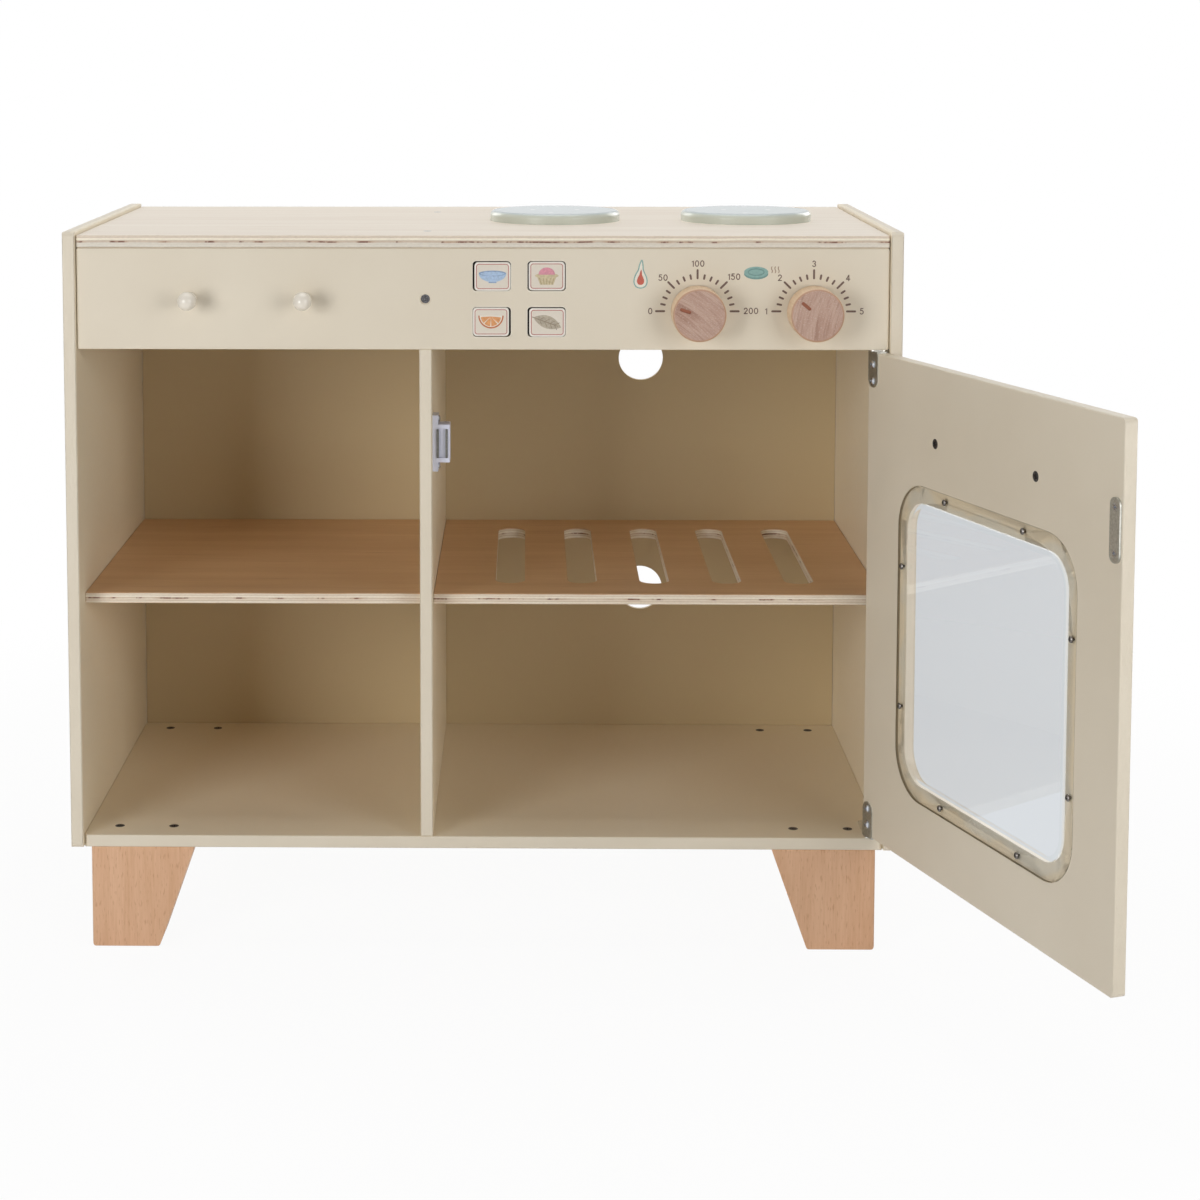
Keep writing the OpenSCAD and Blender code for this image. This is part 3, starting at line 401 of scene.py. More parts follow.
BIRCH_PLIES = [
    (0.0, linear(182, 167, 148)),
    (0.06, linear(192, 178, 160)),
    (0.09, linear(221, 214, 201)),
    (0.24, linear(226, 219, 207)),
    (0.29, linear(217, 209, 195)),
    (0.38, linear(226, 219, 207)),
    (0.44, linear(211, 197, 179)),
    (0.54, linear(206, 186, 164)),
    (0.61, linear(214, 200, 182)),
    (0.65, linear(244, 236, 217)),
    (0.77, linear(246, 238, 219)),
    (0.81, linear(222, 206, 187)),
    (0.89, linear(217, 201, 182)),
    (0.91, linear(228, 212, 193)),
    (1.0, linear(232, 217, 199)),
]
BIRCH_VENEER = (linear(245, 235, 220), linear(239, 227, 211), linear(221, 203, 181))
birch = plywood("clear-lacquered birch plywood", "worktop", BIRCH_VENEER, BIRCH_PLIES, 0.48, 0.5)
dress(birch, "worktop")


# Shelf and oven rack: 8 mm beech-faced plywood under clear satin lacquer, on
# dowels in the divider and screws through the sides.
BEECH_PLIES = [
    (0.0, linear(190, 152, 120)),
    (0.06, linear(230, 218, 198)),
    (0.22, linear(237, 226, 208)),
    (0.27, linear(196, 172, 145)),
    (0.32, linear(224, 210, 190)),
    (0.47, linear(229, 216, 197)),
    (0.51, linear(190, 160, 132)),
    (0.56, linear(232, 221, 202)),
    (0.71, linear(239, 229, 212)),
    (0.75, linear(204, 184, 158)),
    (0.80, linear(230, 218, 198)),
    (0.91, linear(226, 212, 190)),
    (0.95, linear(200, 160, 125)),
    (1.0, linear(192, 148, 113)),
]
BEECH_VENEER = (linear(232, 190, 146), linear(222, 177, 131), linear(194, 142, 98))
beech_ply = plywood("beech-faced plywood", "shelf", BEECH_VENEER, BEECH_PLIES, 0.50, 0.45)
dress(beech_ply, "shelf", "oven_rack")


# Feet: sawn from 40 mm solid beech with the grain upright, sanded and thinly
# lacquered. The shelf dowels and the block for the upper hinge are beech too.
def solid_beech(name, tones, along):
    """Beech with the grain along one axis: light and deep wood, and its flecks."""
    light, deep, fleck = tones
    finish, tree, shader = new_finish(name, 0.5)
    place = put(tree, "ShaderNodeTexCoord").outputs["Object"]

    def drawn_out(share):
        return tuple(share if axis == along else 1 for axis in "XYZ")

    figure = speckle(tree, place, 80, 3, 0.5, drawn_out(0.08))
    fibre = speckle(tree, place, 700, 2, 0.6, drawn_out(0.05))
    wood = blend(tree, ramp(tree, mixture(tree, figure, fibre, 0.55), 0.38, 0.62), light, deep)
    ray = ramp(tree, speckle(tree, place, 1000, 1, 0.5, drawn_out(0.14)), 0.60, 0.70, 0, 0.6)
    wood = blend(tree, ray, wood, fleck)
    tree.links.new(wood, shader.inputs["Base Color"])
    relief(tree, shader, fibre, 0.00005)
    return finish


FOOT_TONES = (linear(226, 183, 148), linear(214, 168, 131), linear(190, 138, 103))
dress(
    solid_beech("sanded beech", FOOT_TONES, "Z"),
    "foot_front_left",
    "foot_front_right",
    "foot_rear_left",
    "foot_rear_right",
)
BLOCK_TONES = (linear(210, 172, 140), linear(198, 156, 122), linear(176, 128, 96))
dress(solid_beech("beech, grain across", BLOCK_TONES, "X"), "hinge_block", "shelf_dowels")


# Wood screws: blackened steel in the feet, the panel and the handle, and zinc
# plate everywhere else. The blackened ones are worn a little brighter in small patches.
WORN_STEEL = linear(196, 198, 202)


def steel(name, light, deep, roughness, wear=0.0):
    """Plated steel with a fine, patchy sheen. wear is how far the bare metal
    shows through."""
    finish, tree, shader = new_finish(name, roughness, Metallic=1.0)
    place = put(tree, "ShaderNodeTexCoord").outputs["Object"]
    patch = ramp(tree, speckle(tree, place, 700, 3), 0.3, 0.7)
    tone = blend(tree, patch, light, deep)
    if wear:
        worn = ramp(tree, speckle(tree, place, 1800, 2, 0.6), 0.56, 0.66, 0, wear)
        tone = blend(tree, worn, tone, WORN_STEEL)
    tree.links.new(tone, shader.inputs["Base Color"])
    smear = speckle(tree, place, 1200, 2)
    gloss = ramp(tree, smear, 0.3, 0.7, roughness - 0.08, roughness + 0.08)
    tree.links.new(gloss, shader.inputs["Roughness"])
    return finish


zinc = steel("zinc-plated steel", linear(186, 188, 192), linear(160, 163, 168), 0.32)
black_steel = steel("blackened steel", linear(92, 90, 92), linear(60, 58, 60), 0.42, wear=0.5)
dress(black_steel, "foot_screws", "control_panel_screw", "handle_screws")
dress(zinc, "side_screws", "worktop_screws", "back_panel_screws")
dress(zinc, "hinge_block_screws", "hob_plate_screws")


# Hob plates: turned discs with a rounded rim, in pale blue-grey satin paint,
# each held by two screws from under the worktop. Four small pale ovals on the top
# are painted highlights, and the rim's greener tone is painted light.
HOB_TOP = (linear(205, 215, 218), linear(200, 210, 211))
# Painted light: the rim's greener tone stands in for how light falls on the rim of the one paint,
# and the pale ovals below are painted highlights.
HOB_RIM_PAINTED_LIGHT = linear(216, 220, 206)
HOB_HIGHLIGHT = linear(232, 236, 236)
HOB_HIGHLIGHTS_MM = ((-17, 0), (17, 0), (2, 33), (-3.5, -33))
HOB_HIGHLIGHT_HALF_MM = (2.2, 5.0)


def hob_paint(node):
    """The plates' paint, with painted light: a greener tone on the rim, and four pale ovals on the
    top face as painted highlights.
    """
    low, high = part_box(node)
    middle = (low + high) / 2
    name = "pale blue-grey paint, " + node
    finish = sprayed_paint(name, *HOB_TOP, roughness=0.24, peel_depth=0.000001, uneven=0.01)
    tree, colour, top = colour_so_far(finish)
    place = put(tree, "ShaderNodeTexCoord").outputs["Object"]
    parts = put(tree, "ShaderNodeSeparateXYZ", {0: place}).outputs
    highlights = 0.0
    for glint in HOB_HIGHLIGHTS_MM:
        squares = []
        for axis, start, offset, half in zip("XY", middle, glint, HOB_HIGHLIGHT_HALF_MM):
            off = calc(tree, "SUBTRACT", parts[axis], start + offset / 1000)
            off = calc(tree, "DIVIDE", off, half / 1000)
            squares.append(calc(tree, "MULTIPLY", off, off))
        away = calc(tree, "SQRT", calc(tree, "ADD", *squares))
        highlights = calc(tree, "MAXIMUM", highlights, ramp(tree, away, 1.15, 0.6, 0, 0.75))
    flat = ramp(tree, facing(tree, "Z"), 0.5, 0.95)
    # Painted highlights on the top face, and the rim's painted light.
    highlighted = blend(tree, calc(tree, "MULTIPLY", highlights, flat), top, HOB_HIGHLIGHT)
    tree.links.new(blend(tree, flat, HOB_RIM_PAINTED_LIGHT, highlighted), colour)
    return finish


for node in ("hob_plate_left", "hob_plate_right"):
    dress(hob_paint(node), node)


# Pegs: turned beech with a ball end, dipped in glossy cream paint and glued
# into the control panel.
PEG_CREAM = (linear(236, 229, 216), linear(232, 224, 209))
peg_paint = sprayed_paint(
    "glossy cream paint", *PEG_CREAM, roughness=0.05, peel_depth=0.0000002, uneven=0.01
)
dress(peg_paint, "peg_left", "peg_right")


# Dials: scales and numbers screen-printed in brown on the control panel, with
# a small picture beside each. The ink stands a hair's breadth proud.
panel_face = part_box("control_panel")[0].y
INK_LIFT_MM = 0.05
INK_SINK_MM = 0.01
CAP_STATIONS = ((0.5, 0.866), (0.82, 0.57), (0.98, 0.2))


def print_ink(name, red, green, blue, roughness=0.5, mottle=0.05):
    """Printing ink, a little uneven like a brush wash."""
    finish, tree, shader = new_finish(name, roughness)
    place = put(tree, "ShaderNodeTexCoord").outputs["Object"]
    wash = ramp(tree, speckle(tree, place, 650, 4, 0.65), 0.3, 0.7)
    light = linear(*[min(255, v * (1 + mottle)) for v in (red, green, blue)])
    deep = linear(*[v * (1 - mottle) for v in (red, green, blue)])
    tree.links.new(blend(tree, wash, light, deep), shader.inputs["Base Color"])
    return finish


def new_piece(name, body, finishes, draw):
    """A piece whose mesh draw() fills, riding on a body."""
    mesh = bpy.data.meshes.new(name)
    bm = bmesh.new()
    draw(bm)
    bm.to_mesh(mesh)
    bm.free()
    for finish in finishes:
        mesh.materials.append(finish)
    piece = bpy.data.objects.new(name, mesh)
    bpy.context.collection.objects.link(piece)
    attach(piece, body)


class Sheet:
    """Where flat print is drawn: u and v in millimetres from a middle point on
    a face that looks to the front."""

    def __init__(self, bm, x, z, face_y):
        self.bm, self.x, self.z, self.y = bm, x, z, face_y
        self.coats = 0

    def ring(self, points, lift_mm):
        """Vertices at the points, so far in front of the face."""
        return [
            self.bm.verts.new((self.x + u / 1000, self.y - lift_mm / 1000, self.z + v / 1000))
            for u, v in points
        ]

    def lifts(self):
        """How far the front and the back of the next coat stand off the face."""
        self.coats += 1
        return INK_LIFT_MM * self.coats, INK_LIFT_MM * (self.coats - 1) - INK_SINK_MM

    def patch(self, outline, ink):
        """A filled shape, its outline given anticlockwise."""
        high, low = self.lifts()
        top, bottom = self.ring(outline, high), self.ring(outline, low)
        faces = [self.bm.faces.new(top), self.bm.faces.new(bottom[::-1])]
        for i in range(len(top)):
            j = (i + 1) % len(top)
            faces.append(self.bm.faces.new((top[i], bottom[i], bottom[j], top[j])))
        for face in faces:
            face.material_index = ink

    def band(self, left, right, ink, closed, lifts):
        """A strip between two rows of points."""
        rows = [self.ring(left, lifts[0]), self.ring(right, lifts[0])]
        rows += [self.ring(left, lifts[1]), self.ring(right, lifts[1])]
        a, b, c, d = rows
        n = len(left)
        for i in range(n if closed else n - 1):
            j = (i + 1) % n
            for p, q in ((b, a), (a, c), (d, b), (c, d)):
                self.bm.faces.new((p[i], p[j], q[j], q[i])).material_index = ink
        if not closed:
            self.bm.faces.new((a[0], c[0], d[0], b[0])).material_index = ink
            self.bm.faces.new((a[-1], b[-1], d[-1], c[-1])).material_index = ink

    def pen(self, path, width, ink, closed=False, lifts=None):
        """A line of even width with round ends."""
        path = [Vector(p) for p in path]
        n = len(path)
        stations = []
        for i, p in enumerate(path):
            before = path[i - 1] if closed or i else p
            after = path[(i + 1) % n] if closed or i < n - 1 else p
            ahead = (after - before).normalized()
            stations.append((p, ahead, 1.0))
        if not closed:
            p, ahead = stations[0][:2]
            head = [(p - ahead * width / 2 * s, ahead, c) for s, c in reversed(CAP_STATIONS)]
            p, ahead = stations[-1][:2]
            tail = [(p + ahead * width / 2 * s, ahead, c) for s, c in CAP_STATIONS]
            stations = head + stations + tail
        left, right = [], []
        for p, ahead, share in stations:
            across = Vector((-ahead.y, ahead.x)) * width / 2 * share
            left.append(p + across)
            right.append(p - across)
        self.band(left, right, ink, closed, lifts or (INK_LIFT_MM, -INK_SINK_MM))


def arc(cx, cy, rx, ry, start, end, steps=16):
    """Points on an ellipse from start to end, in degrees."""
    turns = [math.radians(start + (end - start) * k / steps) for k in range(steps + 1)]
    return [(cx + rx * math.cos(t), cy + ry * math.sin(t)) for t in turns]


# Each digit's width and pen strokes, in a cell one unit high
DIGITS = {
    "0": (0.60, [arc(0.30, 0.5, 0.30, 0.5, 90, 450, 28)]),
    "1": (0.22, [[(0.0, 0.80), (0.20, 1.0), (0.20, 0.0)]]),
    "2": (
        0.56,
        [arc(0.28, 0.72, 0.27, 0.28, 165, -30, 14) + [(0.02, 0.0)], [(0.0, 0.0), (0.57, 0.0)]],
    ),
    "3": (
        0.55,
        [
            arc(0.26, 0.755, 0.235, 0.245, 160, -80, 14),
            arc(0.26, 0.255, 0.27, 0.255, 82, -160, 16),
        ],
    ),
    "4": (
        0.60,
        [[(0.44, 0.0), (0.44, 1.0)], [(0.44, 1.0), (0.0, 0.28)], [(0.0, 0.28), (0.62, 0.28)]],
    ),
    "5": (
        0.56,
        [
            [(0.50, 1.0), (0.12, 1.0)],
            [(0.12, 1.0), (0.07, 0.56)] + arc(0.26, 0.33, 0.29, 0.33, 125, -150, 16),
        ],
    ),
}
DIGIT_HEIGHT_MM = 3.95
DIGIT_GAP_MM = 1.35
PEN_MM = 0.70
TICKS = 17
TICK_STEP = 11.25
TICK_INNER_MM = 23.0
TICK_OUTER_MM = (27.0, 30.2)
TICK_WIDTH_MM = 1.45
DIAL_RISE_MM = 0.4


def write_number(sheet, text, u, v):
    """Digits centred on (u, v)."""
    widths = [DIGITS[digit][0] * DIGIT_HEIGHT_MM for digit in text]
    pen_u = u - (sum(widths) + DIGIT_GAP_MM * (len(text) - 1)) / 2
    tall = DIGIT_HEIGHT_MM
    for digit, width in zip(text, widths):
        for stroke in DIGITS[digit][1]:
            points = [(pen_u + a * tall, v + (b - 0.5) * tall) for a, b in stroke]
            closed = math.dist(points[0], points[-1]) < 0.01
            sheet.pen(points[:-1] if closed else points, PEN_MM, 0, closed)
        pen_u += width + DIGIT_GAP_MM


def draw_dial(bm, knob, numbers):
    """Ticks over the upper half turn, a long one and a number at every fourth."""
    low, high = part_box(knob)
    middle = (low + high) / 2
    sheet = Sheet(bm, middle.x, middle.z + DIAL_RISE_MM / 1000, panel_face)
    for k in range(TICKS):
        turn = math.radians(180 - TICK_STEP * k)
        outer = TICK_OUTER_MM[k % 4 == 0] - TICK_WIDTH_MM / 2
        inner = TICK_INNER_MM + TICK_WIDTH_MM / 2
        ends = [(r * math.cos(turn), r * math.sin(turn)) for r in (inner, outer)]
        sheet.pen(ends, TICK_WIDTH_MM, 0)
    for text, u, v in numbers:
        write_number(sheet, text, u, v)


scale_ink = print_ink("brown scale ink", 106, 82, 71, mottle=0.03)
OVEN_NUMBERS = (
    ("0", -33.6, 0.1),
    ("50", -24.6, 24.1),
    ("100", 0.3, 34.2),
    ("150", 26.0, 24.8),
    ("200", 38.2, 0.3),
)
HOB_NUMBERS = (
    ("1", -33.8, 0.1),
    ("2", -24.3, 24.1),
    ("3", 0, 34.1),
    ("4", 24.2, 24.0),
    ("5", 34.2, 0.1),
)
for knob, numbers in (("oven", OVEN_NUMBERS), ("hob", HOB_NUMBERS)):
    new_piece(
        knob + "_dial_print",
        "carcass",
        [scale_ink],
        lambda bm: draw_dial(bm, knob + "_knob", numbers),
    )

teal_ink = print_ink("teal ink", 136, 172, 166)
deep_teal_ink = print_ink("deep teal ink", 112, 148, 142)
flame_ink = print_ink("flame red ink", 192, 96, 78, mottle=0.06)
pale_ink = print_ink("pale ink", 234, 228, 214, mottle=0.02)
tan_ink = print_ink("tan ink", 164, 138, 116, mottle=0.06)
PICTURE_LINE_MM = 0.85
FLAME_PLACE = (0.4132, 0.4959)
FLAME_MM = (
    (0, -10),
    (3.2, -8.9),
    (4.6, -6.0),
    (4.3, -2.6),
    (3.0, 0.4),
    (1.9, 3.2),
    (1.7, 6.2),
    (0.9, 10.0),
    (-0.7, 6.6),
    (-1.6, 3.0),
    (-3.2, 0.2),
    (-4.4, -3.0),
    (-4.6, -6.2),
    (-3.1, -9.0),
)
FLAME_HEART = 0.55
FLAME_FOOT_MM = -5.0
RINGS_PLACE = (0.4955, 0.4970)
PLATE_HALF_MM = (8.6, 3.9)
PLATE_RING_HALF_MM = (5.6, 2.3)
HEAT_START_MM = 11.2
HEAT_PITCH_MM = 2.4


def smooth(points, steps=4):
    """A closed curve through the points."""
    rows = [Vector(p) for p in points]
    n = len(rows)
    curve = []
    for i in range(n):
        a, b, c, d = rows[i - 1], rows[i], rows[(i + 1) % n], rows[(i + 2) % n]
        square, cube = 2 * a - 5 * b + 4 * c - d, 3 * b - a - 3 * c + d
        for k in range(steps):
            t = k / steps
            curve.append((2 * b + (c - a) * t + square * t**2 + cube * t**3) / 2)
    return curve


def oval(u, v, half):
    """A closed ellipse about (u, v)."""
    return arc(u, v, *half, 0, 348, 29)


def draw_flame(bm):
    """The oven dial's picture: a flame in a teal line."""
    sheet = Sheet(bm, unit_left + FLAME_PLACE[0], FLAME_PLACE[1], panel_face)
    outline = smooth(FLAME_MM)
    foot = Vector((0, FLAME_FOOT_MM))
    heart = [foot + (p - foot) * FLAME_HEART for p in outline]
    sheet.patch(outline, 2)
    sheet.pen(outline, PICTURE_LINE_MM, 0, True, (0.11, 0.0))
    sheet.patch(heart, 1)


def draw_rings(bm):
    """The hob dial's picture: an oval plate with a ring on it, and heat lines."""
    sheet = Sheet(bm, unit_left + RINGS_PLACE[0], RINGS_PLACE[1], panel_face)
    sheet.patch(oval(0, -0.9, PLATE_HALF_MM), 1)
    sheet.patch(oval(0, 0.4, PLATE_HALF_MM), 0)
    sheet.pen(oval(0, 0.4, PLATE_RING_HALF_MM), 0.9, 1, True, (0.16, 0.1))
    for k in range(3):
        u = HEAT_START_MM + k * HEAT_PITCH_MM
        wave = [(u + 0.35 * math.sin(s * math.pi / 3), s * 0.7) for s in range(7)]
        sheet.pen(wave, 0.7, 2)


flame_inks = [teal_ink, flame_ink, pale_ink]
ring_inks = [teal_ink, deep_teal_ink, tan_ink]
new_piece("oven_dial_flame", "carcass", flame_inks, draw_flame)
new_piece("hob_dial_rings", "carcass", ring_inks, draw_rings)


# Knobs: turned from solid beech with the grain along the spigot, so the face
# is end grain. The mark on the face is a sunk slot, painted brown, near the rim.
KNOB_SIDE = (linear(230, 202, 170), linear(220, 190, 155))
KNOB_RIM = linear(188, 148, 122)
KNOB_FACE = (linear(194, 164, 148), linear(182, 149, 132))
KNOB_BAND = linear(146, 106, 88)
KNOB_FLECK = linear(206, 188, 176)
MARK_PAINT = linear(150, 88, 62)
MARK_FLOOR_DEPTH = 0.0005
MARK_DEEPEST = (0.004, 0.003)
MARK_REACH = (0.0158, 0.0154)
RING_BOW = 5
FINE_SHARE = 0.32


def knob_beech(name, node, band_turn, broad_share, narrow_share):
    """Turned beech. band_turn is the lie of the growth rings across the face in
    degrees, and the shares are how much they show."""
    low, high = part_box(node)
    middle = tuple((low + high) / 2)
    finish, tree, shader = new_finish(name, 0.5)
    place = put(tree, "ShaderNodeTexCoord").outputs["Object"]
    values = {0: place, 1: middle}
    across = put(tree, "ShaderNodeVectorMath", values, operation="SUBTRACT").outputs[0]
    values = {"Vector": across, "Angle": math.radians(band_turn)}
    turned = put(tree, "ShaderNodeVectorRotate", values, rotation_type="Y_AXIS").outputs[0]
    parts = put(tree, "ShaderNodeSeparateXYZ", {0: turned}).outputs
    arch = calc(tree, "MULTIPLY", calc(tree, "MULTIPLY", parts["X"], parts["X"]), RING_BOW)
    ring_height = calc(tree, "ADD", parts["Z"], arch)
    rings = put(tree, "ShaderNodeCombineXYZ", {0: parts["X"], 2: ring_height}).outputs[0]
    broad = ramp(tree, speckle(tree, rings, 190, 2, 0.55, (0.10, 1, 1)), 0.50, 0.64)
    narrow = ramp(tree, speckle(tree, rings, 620, 2, 0.6, (0.05, 1, 1)), 0.52, 0.68)
    tone = ramp(tree, speckle(tree, rings, 95, 2, 0.5, (0.4, 1, 1)), 0.35, 0.65)
    face = blend(tree, tone, *KNOB_FACE)
    fine = ramp(tree, speckle(tree, rings, 1150, 2, 0.6, (0.05, 1, 1)), 0.46, 0.64)
    for band, share in ((broad, broad_share), (narrow, narrow_share), (fine, FINE_SHARE)):
        face = blend(tree, calc(tree, "MULTIPLY", band, share), face, KNOB_BAND)
    fleck = ramp(tree, speckle(tree, place, 1500, 2, 0.6, (0.5, 1, 1)), 0.55, 0.68, 0, 0.6)
    face = blend(tree, fleck, face, KNOB_FLECK)
    fibre = speckle(tree, place, 800, 2, 0.6, (1, 0.06, 1))
    side = blend(tree, ramp(tree, fibre, 0.35, 0.65), *KNOB_SIDE)
    squarely = facing(tree, "Y")
    wood = blend(tree, ramp(tree, squarely, 0.45, 0.65), side, KNOB_RIM)
    wood = blend(tree, ramp(tree, squarely, 0.88, 0.97), wood, face)
    depth = put(tree, "ShaderNodeSeparateXYZ", {0: place}).outputs["Y"]
    sunk = ramp(tree, depth, low.y + MARK_FLOOR_DEPTH * 0.2, low.y + MARK_FLOOR_DEPTH)
    flat = put(tree, "ShaderNodeCombineXYZ", {0: parts["X"], 2: parts["Z"]}).outputs[0]
    inner = put(tree, "ShaderNodeVectorMath", {0: flat}, operation="LENGTH").outputs["Value"]
    painted = calc(tree, "MULTIPLY", sunk, ramp(tree, inner, *MARK_REACH))
    shallow = ramp(tree, depth, *[low.y + deepest for deepest in MARK_DEEPEST])
    painted = calc(tree, "MULTIPLY", painted, shallow)
    tree.links.new(blend(tree, painted, wood, MARK_PAINT), shader.inputs["Base Color"])
    height = calc(tree, "ADD", broad, calc(tree, "MULTIPLY", narrow, 0.5))
    relief(tree, shader, height, 0.00003)
    return finish


dress(knob_beech("turned beech, oven knob", "oven_knob", -38, 0.5, 0.5), "oven_knob")
dress(knob_beech("turned beech, hob knob", "hob_knob", 76, 0.15, 0.55), "hob_knob")
dress(zinc, "oven_knob_washer", "oven_knob_screw", "hob_knob_washer", "hob_knob_screw")


# Buttons: painted tiles that stand loose in rounded openings and are kept by a
# plastic box behind. The box and the tiles' sides are coloured dark brown as
# painted shade for the gap round each tile. Each has a printed frame line and a
# small picture.
TILE_FRAME_IN_MM = 1.45
TILE_FRAME_LINE_MM = 0.6
TILE_CORNER_MM = 2.6
FLANGE_MM = 2.0
TILE_WHITE = (linear(240, 235, 226), linear(236, 230, 220))
TILE_SHOWS = (0.0010, 0.0020)
# The dark brown down the tiles' sides is painted shade for the gap round each tile.
CAVITY_PAINTED_SHADE = linear(26, 18, 14)


def moulded_plastic(name, light, deep, roughness):
    """Plastic with a faint cloud of tone and the fine grain of its mould."""
    finish, tree, shader = new_finish(name, roughness)
    place = put(tree, "ShaderNodeTexCoord").outputs["Object"]
    cloud = ramp(tree, speckle(tree, place, 120, 3), 0.3, 0.7)
    tree.links.new(blend(tree, cloud, light, deep), shader.inputs["Base Color"])
    relief(tree, shader, speckle(tree, place, 1400, 2), 0.00002)
    return finish


def tile_paint():
    """White paint on the front, which runs out into dark brown down the sides: painted shade for
    the gap round the tile.
    """
    finish = sprayed_paint("white tile paint", *TILE_WHITE, roughness=0.4, peel_depth=0.00002)
    tree, colour, white = colour_so_far(finish)
    place = put(tree, "ShaderNodeTexCoord").outputs["Object"]
    depth = put(tree, "ShaderNodeSeparateXYZ", {0: place}).outputs["Y"]
    bare = ramp(tree, depth, *[panel_face + shows for shows in TILE_SHOWS])
    tree.links.new(blend(tree, bare, white, CAVITY_PAINTED_SHADE), colour)
    return finish


# The box is coloured dark brown as painted shade: it shows only in the shaded gap round each tile.
box_painted_shade = moulded_plastic("plastic in painted shade", linear(40, 30, 26), linear(28, 20, 17), 0.5)
dress(box_painted_shade, "button_box")
dress(zinc, "button_springs", "button_box_screws")
tile_white = tile_paint()
field_ink = print_ink("beige field ink", 224, 215, 201, 0.45, 0.01)
frame_ink = print_ink("pink line ink", 182, 120, 112, mottle=0.04)
blue_ink = print_ink("blue wash", 170, 192, 218, mottle=0.08)
deep_blue_ink = print_ink("deep blue wash", 138, 160, 192, mottle=0.08)
cup_ink = print_ink("tan wash", 200, 186, 152, mottle=0.08)
deep_cup_ink = print_ink("deep tan wash", 168, 148, 114, mottle=0.08)
pink_ink = print_ink("pink wash", 214, 146, 160, mottle=0.07)
orange_ink = print_ink("orange wash", 216, 152, 98, mottle=0.09)
rind_ink = print_ink("rind wash", 186, 108, 66, mottle=0.09)
leaf_ink = print_ink("olive wash", 176, 165, 147, mottle=0.09)
deep_leaf_ink = print_ink("deep olive wash", 146, 132, 114, mottle=0.09)


def rounded_outline(width, height, radius, steps=6):
    """A rectangle with round corners, anticlockwise."""
    points = []
    for corner, start in (((1, 1), 0), ((-1, 1), 90), ((-1, -1), 180), ((1, -1), 270)):
        cx, cy = corner[0] * (width / 2 - radius), corner[1] * (height / 2 - radius)
        points += arc(cx, cy, radius, radius, start, start + 90, steps)
    return points


def bowl_picture(sheet):
    """A blue bowl on a foot."""
    sheet.patch([(-3.0, -4.7), (3.0, -4.7), (2.4, -3.2), (-2.4, -3.2)], 3)
    sheet.patch(arc(0, 2.2, 9.8, 6.2, 180, 360, 20), 2)
    sheet.patch(oval(0, 2.2, (9.8, 2.0)), 3)
    sheet.patch(oval(0, 2.0, (8.4, 1.4)), 2)


def cup_cake_picture(sheet):
    """A tan cup with a pink dome."""
    sheet.patch([(-4.7, -6.2), (4.7, -6.2), (7.2, 0.2), (-7.2, 0.2)], 2)
    for k in range(5):
        u = -3.8 + 1.9 * k
        sheet.pen([(u, -5.8), (u * 1.45, -0.2)], 0.5, 3, False, (0.12, 0.05))
    sheet.patch(oval(0, 0.3, (8.5, 1.9)), 2)
    sheet.patch(arc(0, 1.0, 5.9, 5.2, 0, 180, 20), 4)


SEGMENTS = 4
SEGMENT_STEP = 44
SEGMENT_SPAN = 38


def orange_picture(sheet):
    """Half a slice of orange. Its segments lie side by side in one coat."""
    sheet.patch(arc(0, 4.5, 9.1, 9.3, 180, 360, 24), 3)
    sheet.patch(arc(0, 4.5, 8.1, 8.2, 180, 360, 24), 4)
    for k in range(SEGMENTS):
        start = 184 + SEGMENT_STEP * k
        sheet.patch([(0, 3.9)] + arc(0, 4.0, 7.2, 7.2, start, start + SEGMENT_SPAN, 8), 2)
        sheet.coats -= 1


LEAF_HALF_MM = 10.4
LEAF_WIDTHS_MM = (4.9, 4.3)
LEAF_TURN = math.radians(-20)
VEIN_LIFTS_MM = (0.16, 0.05)


def leaf_picture(sheet):
    """A leaf lying aslant."""

    def turned(u, v):
        along = Vector((math.cos(LEAF_TURN), math.sin(LEAF_TURN)))
        return u * along + v * Vector((-along.y, along.x))

    bulge = [math.sin(math.pi * k / 16) ** 0.8 for k in range(17)]
    upper, lower = LEAF_WIDTHS_MM
    outline = [(LEAF_HALF_MM * (1 - k / 8), upper * bulge[k]) for k in range(17)]
    outline += [(LEAF_HALF_MM * (k / 8 - 1), -lower * bulge[k]) for k in range(1, 16)]
    sheet.patch([turned(u, v) for u, v in outline], 2)
    sheet.pen([turned(u, 0) for u in (-11.4, -5, 1, 8)], 0.6, 3, False, VEIN_LIFTS_MM)
    for u in (-6, -2, 2, 5.6):
        for side in (1, -1):
            vein = [turned(u, 0), turned(u + 2.6, side * 2.7)]
            sheet.pen(vein, 0.42, 3, False, VEIN_LIFTS_MM)


def draw_tile(bm, low, high, picture):
    """The print on one button: field, frame line and picture."""
    width, height = [(high[i] - low[i]) * 1000 - 2 * FLANGE_MM for i in (0, 2)]
    sheet = Sheet(bm, (low.x + high.x) / 2, (low.z + high.z) / 2, low.y)
    inset = 2 * TILE_FRAME_IN_MM
    corner = TILE_CORNER_MM - TILE_FRAME_IN_MM * 0.55
    field = rounded_outline(width - inset, height - inset, corner)
    sheet.patch(field, 0)
    sheet.pen(field, TILE_FRAME_LINE_MM, 1, True, (0.08, 0.0))
    picture(sheet)


